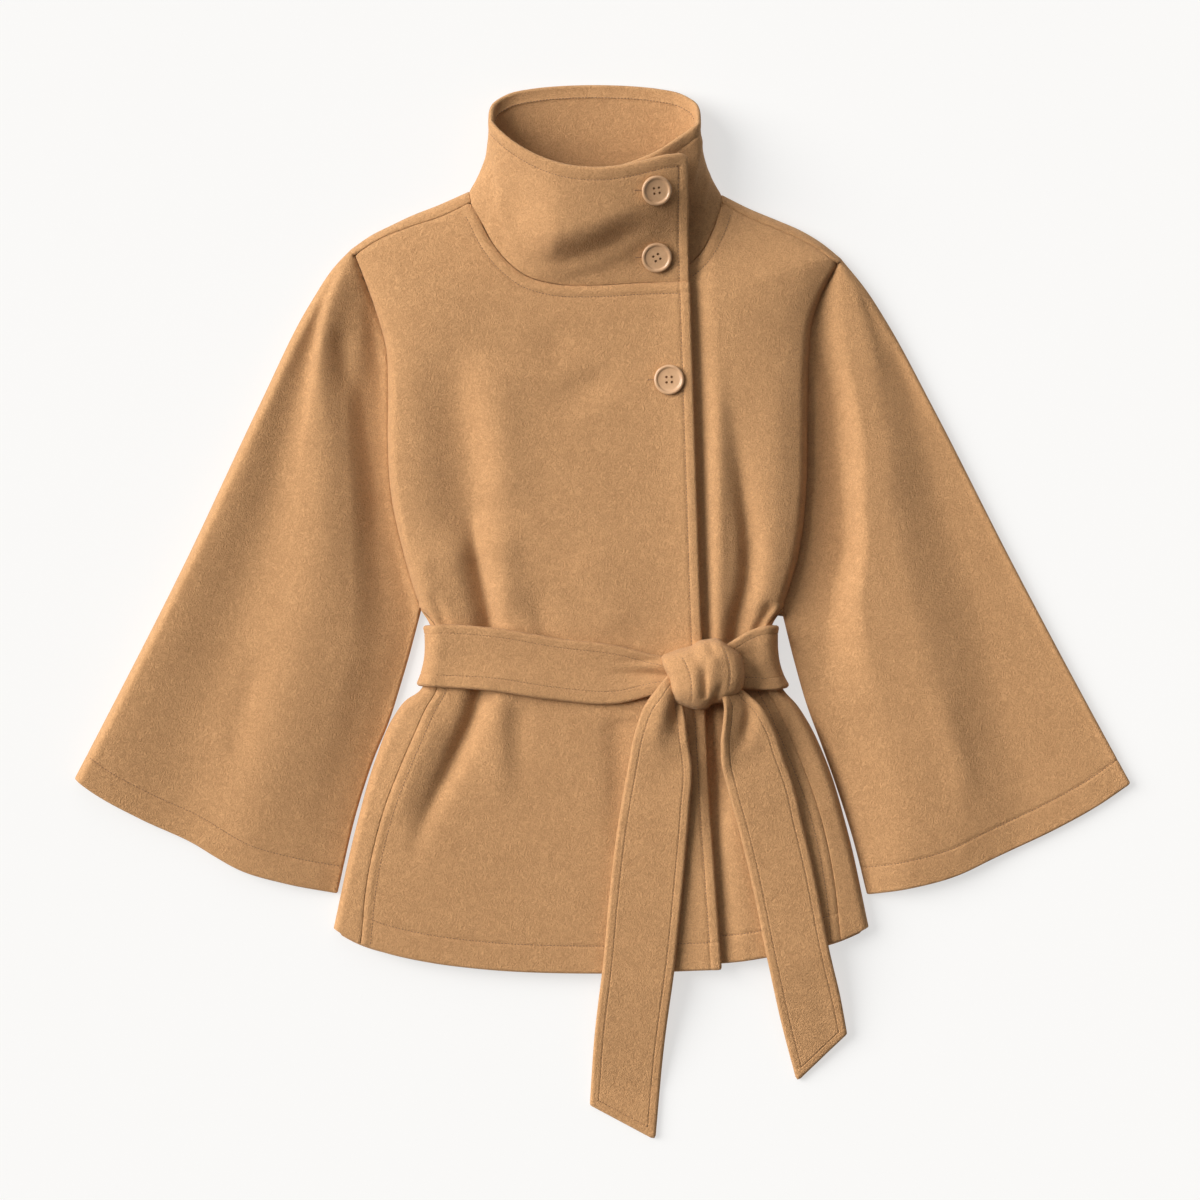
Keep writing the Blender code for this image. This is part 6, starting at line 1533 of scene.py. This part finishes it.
@dataclass
class Stitching:
    """Runs of small stitches, joined in one mesh."""

    name: str
    length: float = 1.9
    radius: float = 0.36
    sides: int = 5
    arch: float = 0.3
    rings: tuple[tuple[float, float], ...] = ((-0.5, 0.5), (-0.3, 0.95), (0.0, 1.0), (0.3, 0.95), (0.5, 0.5))
    places: list[Array] = field(default_factory=list)

    def run(self, points: Array, normals: Array, pitch: float = STITCH_PITCH) -> None:
        """Add a run of stitches along a line.

        Args:
            points: the line in space.
            normals: the cloth's normal at each point.
            pitch: distance from stitch to stitch.
        """
        line = Line(points)
        count = int(line.length / pitch)
        if count < 2:
            return
        share = (np.arange(count) + 0.5) / count
        centre = line.at(share)
        ahead, behind = (line.at(np.clip(share + sign * 0.5 / count, 0, 1)) for sign in (1, -1))
        along = ahead - behind
        along /= np.linalg.norm(along, axis=1)[:, None]
        up = np.stack([np.interp(share, line.share, axis) for axis in normals.T], -1)
        up -= (up * along).sum(1)[:, None] * along
        up /= np.linalg.norm(up, axis=1)[:, None]
        self.places.append(np.stack([centre, along, np.cross(up, along), up], 1))

    def along(self, shell: Shell, line: tuple) -> None:
        """Add a run along a row or column of a wall's outer face."""
        self.run(shell.outer[line], shell.normals[line])

    def over(self, top: Surface, plan: Array, reach: float = 0.8) -> None:
        """Add a run along a line in plan, on the faces under it."""
        heights = top.height(plan)
        slope = np.stack([top.height(plan + step) - heights for step in ((reach, 0), (0, reach))], -1) / reach
        normals = np.column_stack([-slope, np.ones(len(plan))])
        self.run(raised(plan, heights), normals / np.linalg.norm(normals, axis=1)[:, None])

    def across(self, centre: Array, along: Array, up: Array) -> None:
        """Add one stitch."""
        self.places.append(np.stack([centre, along, np.cross(up, along), up])[None])

    def object(self, material: bpy.types.Material) -> bpy.types.Object:
        """Make all the stitches.

        Args:
            material: the thread.

        Returns:
            The new object.
        """
        turns = np.linspace(0, 2 * np.pi, self.sides, endpoint=False)
        pattern = np.array([(share * self.length, self.radius * size * math.cos(turn),
                             self.radius * size * math.sin(turn) + self.arch * (0.6 - 4 * share ** 2))
                            for share, size in self.rings for turn in turns])
        places = np.concatenate(self.places)
        points = places[:, None, 0] + np.einsum("pk,nkd->npd", pattern, places[:, 1:])
        index = np.arange(len(pattern)).reshape(len(self.rings), self.sides)
        after = np.roll(index, -1, axis=1)
        one = np.stack([index[:-1], after[:-1], after[1:], index[1:]], -1).reshape(-1, 4)
        shift = (np.arange(len(places)) * len(pattern))[:, None, None]
        faces = (one + shift).reshape(-1, 4).tolist()
        for cap in (index[0, ::-1], index[-1]):
            faces += (cap + shift[:, 0]).tolist()
        mesh = bpy.data.meshes.new(self.name)
        mesh.from_pydata((points.reshape(-1, 3) * MM).tolist(), [], faces)
        mesh.materials.append(material)
        mesh.shade_smooth()
        piece = bpy.data.objects.new(self.name, mesh)
        bpy.context.scene.collection.objects.link(piece)
        return piece


class Wire:
    """A shader socket that takes part in sums like a number."""

    def __init__(self, nodes: Nodes, socket: bpy.types.NodeSocket) -> None:
        """Keep the socket and the tree that it belongs to."""
        self.nodes = nodes
        self.socket = socket

    def joined(self, operation: str, first: Wire | float, second: Wire | float) -> Wire:
        """A Math node of two values."""
        return self.nodes.add("ShaderNodeMath", {"operation": operation}, {0: first, 1: second})

    def __add__(self, other: Wire | float) -> Wire:
        """Sum."""
        return self.joined("ADD", self, other)

    def __radd__(self, other: float) -> Wire:
        """Sum with a number."""
        return self.joined("ADD", other, self)

    def __sub__(self, other: Wire | float) -> Wire:
        """Difference."""
        return self.joined("SUBTRACT", self, other)

    def __rsub__(self, other: float) -> Wire:
        """Difference from a number."""
        return self.joined("SUBTRACT", other, self)

    def __mul__(self, other: Wire | float) -> Wire:
        """Product."""
        return self.joined("MULTIPLY", self, other)

    def __rmul__(self, other: float) -> Wire:
        """Product with a number."""
        return self.joined("MULTIPLY", other, self)

    def __abs__(self) -> Wire:
        """Size without its sign."""
        return self.joined("ABSOLUTE", self, 0.0)

    def at_least(self, other: Wire | float) -> Wire:
        """The larger of the two."""
        return self.joined("MAXIMUM", self, other)


class Nodes:
    """A material's tree, to which nodes are added one call at a time."""

    def __init__(self, name: str) -> None:
        """Start a material with its Principled shader."""
        self.material = bpy.data.materials.new(name)
        self.material.use_nodes = True
        self.tree = self.material.node_tree
        self.shader = next(node for node in self.tree.nodes if node.type == "BSDF_PRINCIPLED")

    def add(self, kind: str, settings: dict | None = None, inputs: dict | None = None, output: int | str = 0) -> Wire:
        """Add one node.

        Args:
            kind: the node's type.
            settings: its properties; "stops" gives a ramp's places and colours.
            inputs: values or wires for its sockets.
            output: the socket to hand back.

        Returns:
            The chosen output.
        """
        node = self.tree.nodes.new(kind)
        for name, value in (settings or {}).items():
            if name == "stops":
                for index, (place, colour) in enumerate(value):
                    ramp = node.color_ramp.elements
                    stop = ramp[index] if index < 2 else ramp.new(place)
                    stop.position, stop.color = place, (*colour, 1.0)
            else:
                setattr(node, name, value)
        self.feed(node, inputs or {})
        return Wire(self, node.outputs[output])

    def feed(self, node: bpy.types.Node, inputs: dict) -> None:
        """Set or link a node's sockets."""
        for name, value in inputs.items():
            if isinstance(value, Wire):
                self.tree.links.new(value.socket, node.inputs[name])
            else:
                node.inputs[name].default_value = value

    def noise(self, scale: float, detail: float, distortion: float, roughness: float = 0.5) -> Wire:
        """Noise over the object's own space, of this many grains to the metre."""
        place = self.add("ShaderNodeTexCoord", output="Object")
        return self.add("ShaderNodeTexNoise", None, {"Vector": place, "Scale": scale, "Detail": detail,
                                                     "Distortion": distortion, "Roughness": roughness})

    def mixed(self, share: Wire, first: tuple, second: tuple) -> Wire:
        """A colour between two."""
        return self.add("ShaderNodeMix", {"data_type": "RGBA"},
                        {"Factor": share, 6: (*first, 1.0), 7: (*second, 1.0)}, 2)

    def bump(self, height: Wire, strength: float, distance: float) -> Wire:
        """Normals of a height in metres."""
        return self.add("ShaderNodeBump", None, {"Height": height, "Strength": strength, "Distance": distance})


@dataclass(frozen=True)
class Wool:
    """Camel melton with a short curly nap."""

    name: str = "camel_wool"
    dark: tuple[float, float, float] = (0.310, 0.154, 0.061)
    light: tuple[float, float, float] = (0.715, 0.399, 0.188)
    cloud_scale: float = 22.0
    tuft_scale: float = 120.0
    curl_scales: tuple[float, float] = (230.0, 320.0)
    curl_twist: float = 1.7
    curl_thinness: float = 8.5
    fibre_scale: float = 950.0

    def material(self) -> bpy.types.Material:
        """Make the material."""
        nodes = Nodes(self.name)
        clouds = nodes.noise(self.cloud_scale, 2, 0.4)
        tufts = nodes.noise(self.tuft_scale, 2, 0.8)
        fibres = nodes.noise(self.fibre_scale, 3, 1.2, 0.65)
        first, second = (nodes.noise(scale, 1, self.curl_twist) for scale in self.curl_scales)
        curls = (1.0 - abs(first - 0.5) * self.curl_thinness).at_least(0.0)
        curls = curls.at_least(0.8 - abs(second - 0.5) * self.curl_thinness)
        share = 0.40 + (clouds - 0.5) * 0.14 + (tufts - 0.5) * 0.25 + curls * 0.30 + (fibres - 0.5) * 0.8
        height = curls * 0.8 + fibres * 0.55 + tufts * 0.3
        nodes.feed(nodes.shader, {
            "Base Color": nodes.mixed(share, self.dark, self.light),
            "Roughness": 0.95,
            "Specular IOR Level": 0.15,
            "Sheen Weight": 0.22,
            "Sheen Roughness": 0.45,
            "Sheen Tint": (1.0, 0.80, 0.58, 1.0),
            "Normal": nodes.bump(height, 0.6, 0.0009),
        })
        return nodes.material


@dataclass(frozen=True)
class Thread:
    """Sewing thread a little darker than the cloth."""

    name: str = "camel_thread"
    dark: tuple[float, float, float] = (0.16, 0.075, 0.03)
    light: tuple[float, float, float] = (0.33, 0.175, 0.08)
    twist_scale: float = 1400.0

    def material(self) -> bpy.types.Material:
        """Make the material."""
        nodes = Nodes(self.name)
        twist = nodes.noise(self.twist_scale, 2, 0.5)
        nodes.feed(nodes.shader, {
            "Base Color": nodes.mixed(twist, self.dark, self.light),
            "Roughness": 0.7,
            "Sheen Weight": 0.2,
            "Normal": nodes.bump(twist, 0.3, 0.0002),
        })
        return nodes.material


@dataclass(frozen=True)
class Resin:
    """Tan resin of the buttons, satin with faint clouds in it."""

    name: str = "tan_resin"
    dark: tuple[float, float, float] = (0.47, 0.265, 0.135)
    light: tuple[float, float, float] = (0.66, 0.405, 0.225)
    cloud_scale: float = 120.0
    scratch_scale: float = 2200.0

    def material(self) -> bpy.types.Material:
        """Make the material."""
        nodes = Nodes(self.name)
        clouds = nodes.noise(self.cloud_scale, 3, 1.5)
        scratches = nodes.noise(self.scratch_scale, 2, 0.0)
        nodes.feed(nodes.shader, {
            "Base Color": nodes.mixed(clouds, self.dark, self.light),
            "Roughness": 0.26 + scratches * 0.16,
            "Coat Weight": 0.25,
            "Coat Roughness": 0.15,
            "Normal": nodes.bump(scratches, 0.08, 0.0002),
        })
        return nodes.material


@dataclass(frozen=True)
class Tabletop:
    """The near-white surface under the jacket."""

    name: str = "white_surface"
    dark: tuple[float, float, float] = (0.303, 0.301, 0.298)
    light: tuple[float, float, float] = (0.310, 0.308, 0.305)
    glow: tuple[float, float, float] = (0.622, 0.617, 0.608)     # the studio's light that shadows don't take

    def material(self) -> bpy.types.Material:
        """Make the material."""
        nodes = Nodes(self.name)
        nodes.feed(nodes.shader, {
            "Base Color": nodes.mixed(nodes.noise(3.0, 2, 0.0), self.dark, self.light),
            "Roughness": 0.9,
            "Specular IOR Level": 0.1,
            "Emission Color": (*self.glow, 1.0),
            "Emission Strength": 1.0,
        })
        return nodes.material


class Lamp(NamedTuple):
    """A far, wide and soft light."""

    name: str
    height: float                                # degrees above the surface
    bearing: float                               # degrees from +X
    spread: float                                # degrees across
    power: float


@dataclass
class Studio:
    """A pale surface, soft light from the upper left and a camera straight above."""

    camera_height: float = 5.0
    frame_width: float = 1.08
    sensor: float = 36.0
    centre: tuple[float, float] = (-0.00225, 0.01125)
    floor_size: float = 9.0
    lamps: tuple[Lamp, ...] = (
        Lamp("key", 32.0, 163.0, 44.0, 4.78),
        Lamp("top", 40.0, 105.0, 66.0, 0.90),
    )
    lamp_colour: tuple[float, float, float] = (1.0, 0.992, 0.978)
    fill: float = 0.10
    fill_colour: tuple[float, float, float] = (0.95, 0.97, 1.0)

    def build(self) -> None:
        """Make the floor, the lights and the camera."""
        scene = bpy.context.scene
        scene.view_settings.view_transform = "Standard"
        shape = bmesh.new()
        bmesh.ops.create_grid(shape, x_segments=1, y_segments=1, size=self.floor_size / 2)
        mesh = bpy.data.meshes.new("surface")
        shape.to_mesh(mesh)
        shape.free()
        mesh.materials.append(Tabletop().material())
        floor = bpy.data.objects.new("surface", mesh)
        floor.location = (0.0, 0.0, -0.0003)
        scene.collection.objects.link(floor)

        world = bpy.data.worlds.new("studio")
        world.use_nodes = True
        background = world.node_tree.nodes["Background"]
        background.inputs["Color"].default_value = (*self.fill_colour, 1.0)
        background.inputs["Strength"].default_value = self.fill
        scene.world = world

        for lamp in self.lamps:
            light = bpy.data.lights.new(lamp.name, "SUN")
            light.angle = math.radians(lamp.spread)
            light.energy, light.color = lamp.power, self.lamp_colour
            holder = bpy.data.objects.new(lamp.name, light)
            height, bearing = math.radians(lamp.height), math.radians(lamp.bearing)
            towards = Vector((math.cos(height) * math.cos(bearing), math.cos(height) * math.sin(bearing),
                              math.sin(height)))
            holder.location = towards
            holder.rotation_euler = towards.to_track_quat("Z", "Y").to_euler()
            scene.collection.objects.link(holder)

        lens = bpy.data.cameras.new("camera")
        lens.sensor_width = self.sensor
        lens.lens = self.sensor * self.camera_height / self.frame_width
        camera = bpy.data.objects.new("camera", lens)
        camera.location = (*self.centre, self.camera_height)
        scene.collection.objects.link(camera)
        scene.camera = camera


def main() -> None:
    """Build the jacket's pieces in order and light them."""
    logging.basicConfig(level=logging.INFO, format="%(message)s")
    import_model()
    Studio().build()
    step = 2.7
    form = Form()
    wool, thread, resin = Wool().material(), Thread().material(), Resin().material()
    sewing = Stitching("topstitching")

    back = Back(form, 4.0).shell()
    CUTS["back"].declare(dressed(back.object(wool), "wool", "back"))
    pieces = []
    for side in Side:
        front = Front(form, side, step)
        panel = front.shell()
        front.sew(panel, sewing)
        pieces.append(dressed(panel.object(wool), "wool", side.value + "_front"))
        CUTS[side.value + "_front"].declare(pieces[-1])
        front.sew_neck(Surface(pieces[-1]), sewing)
        sleeve = Sleeve(form, side, step)
        tube = sleeve.shell()
        sleeve.sew(tube, sewing)
        sewn = dressed(tube.object(wool), "wool", side.value + "_sleeve_front", side.value + "_sleeve_back")
        CUTS[side.value + "_sleeve"].declare(sewn)
    collar = Collar(form, step)
    funnel = collar.shell()
    collar.sew(funnel, sewing)
    flap = dressed(funnel.object(wool), "wool", "collar")
    CUTS["collar"].declare(flap)
    belt = Belt(form, Surface(*pieces))
    band = belt.shell()
    belt.sew(band, sewing)
    waist = dressed(band.object(wool), "wool", "belt_waist")
    over, tails = Surface(*pieces, waist), []
    for side in Side:
        tail = Tail(side, over, step)
        strip = tail.shell()
        tail.sew(strip, sewing)
        tails.append(dressed(strip.object(wool), "wool", "belt_tail_" + side.value))
        CUTS["belt_tail_" + side.value].declare(tails[-1])
    knot = Knot(Surface(*pieces, waist, *tails))
    tied = dressed(knot.shell().object(wool), "wool", "belt_knot")
    knot.sew(Surface(tied), sewing)
    CUTS["belt_waist"].declare(waist, tied)
    under_buttons = Surface(*pieces, flap)
    for name, x, y, turn in BUTTONS:
        button = Button(name, x, y, turn, under_buttons)
        dressed(button.object(resin), "button", name)
        button.sew(sewing)
    dressed(sewing.object(thread), "wool")


BUTTONS: tuple[tuple[str, float, float, float], ...] = (
    ("button_top", 47.8, 375.2, 8.0), ("button_middle", 48.5, 317.5, 29.0), ("button_lower", 59.7, 208.2, 2.0))


if __name__ == "__main__":
    main()
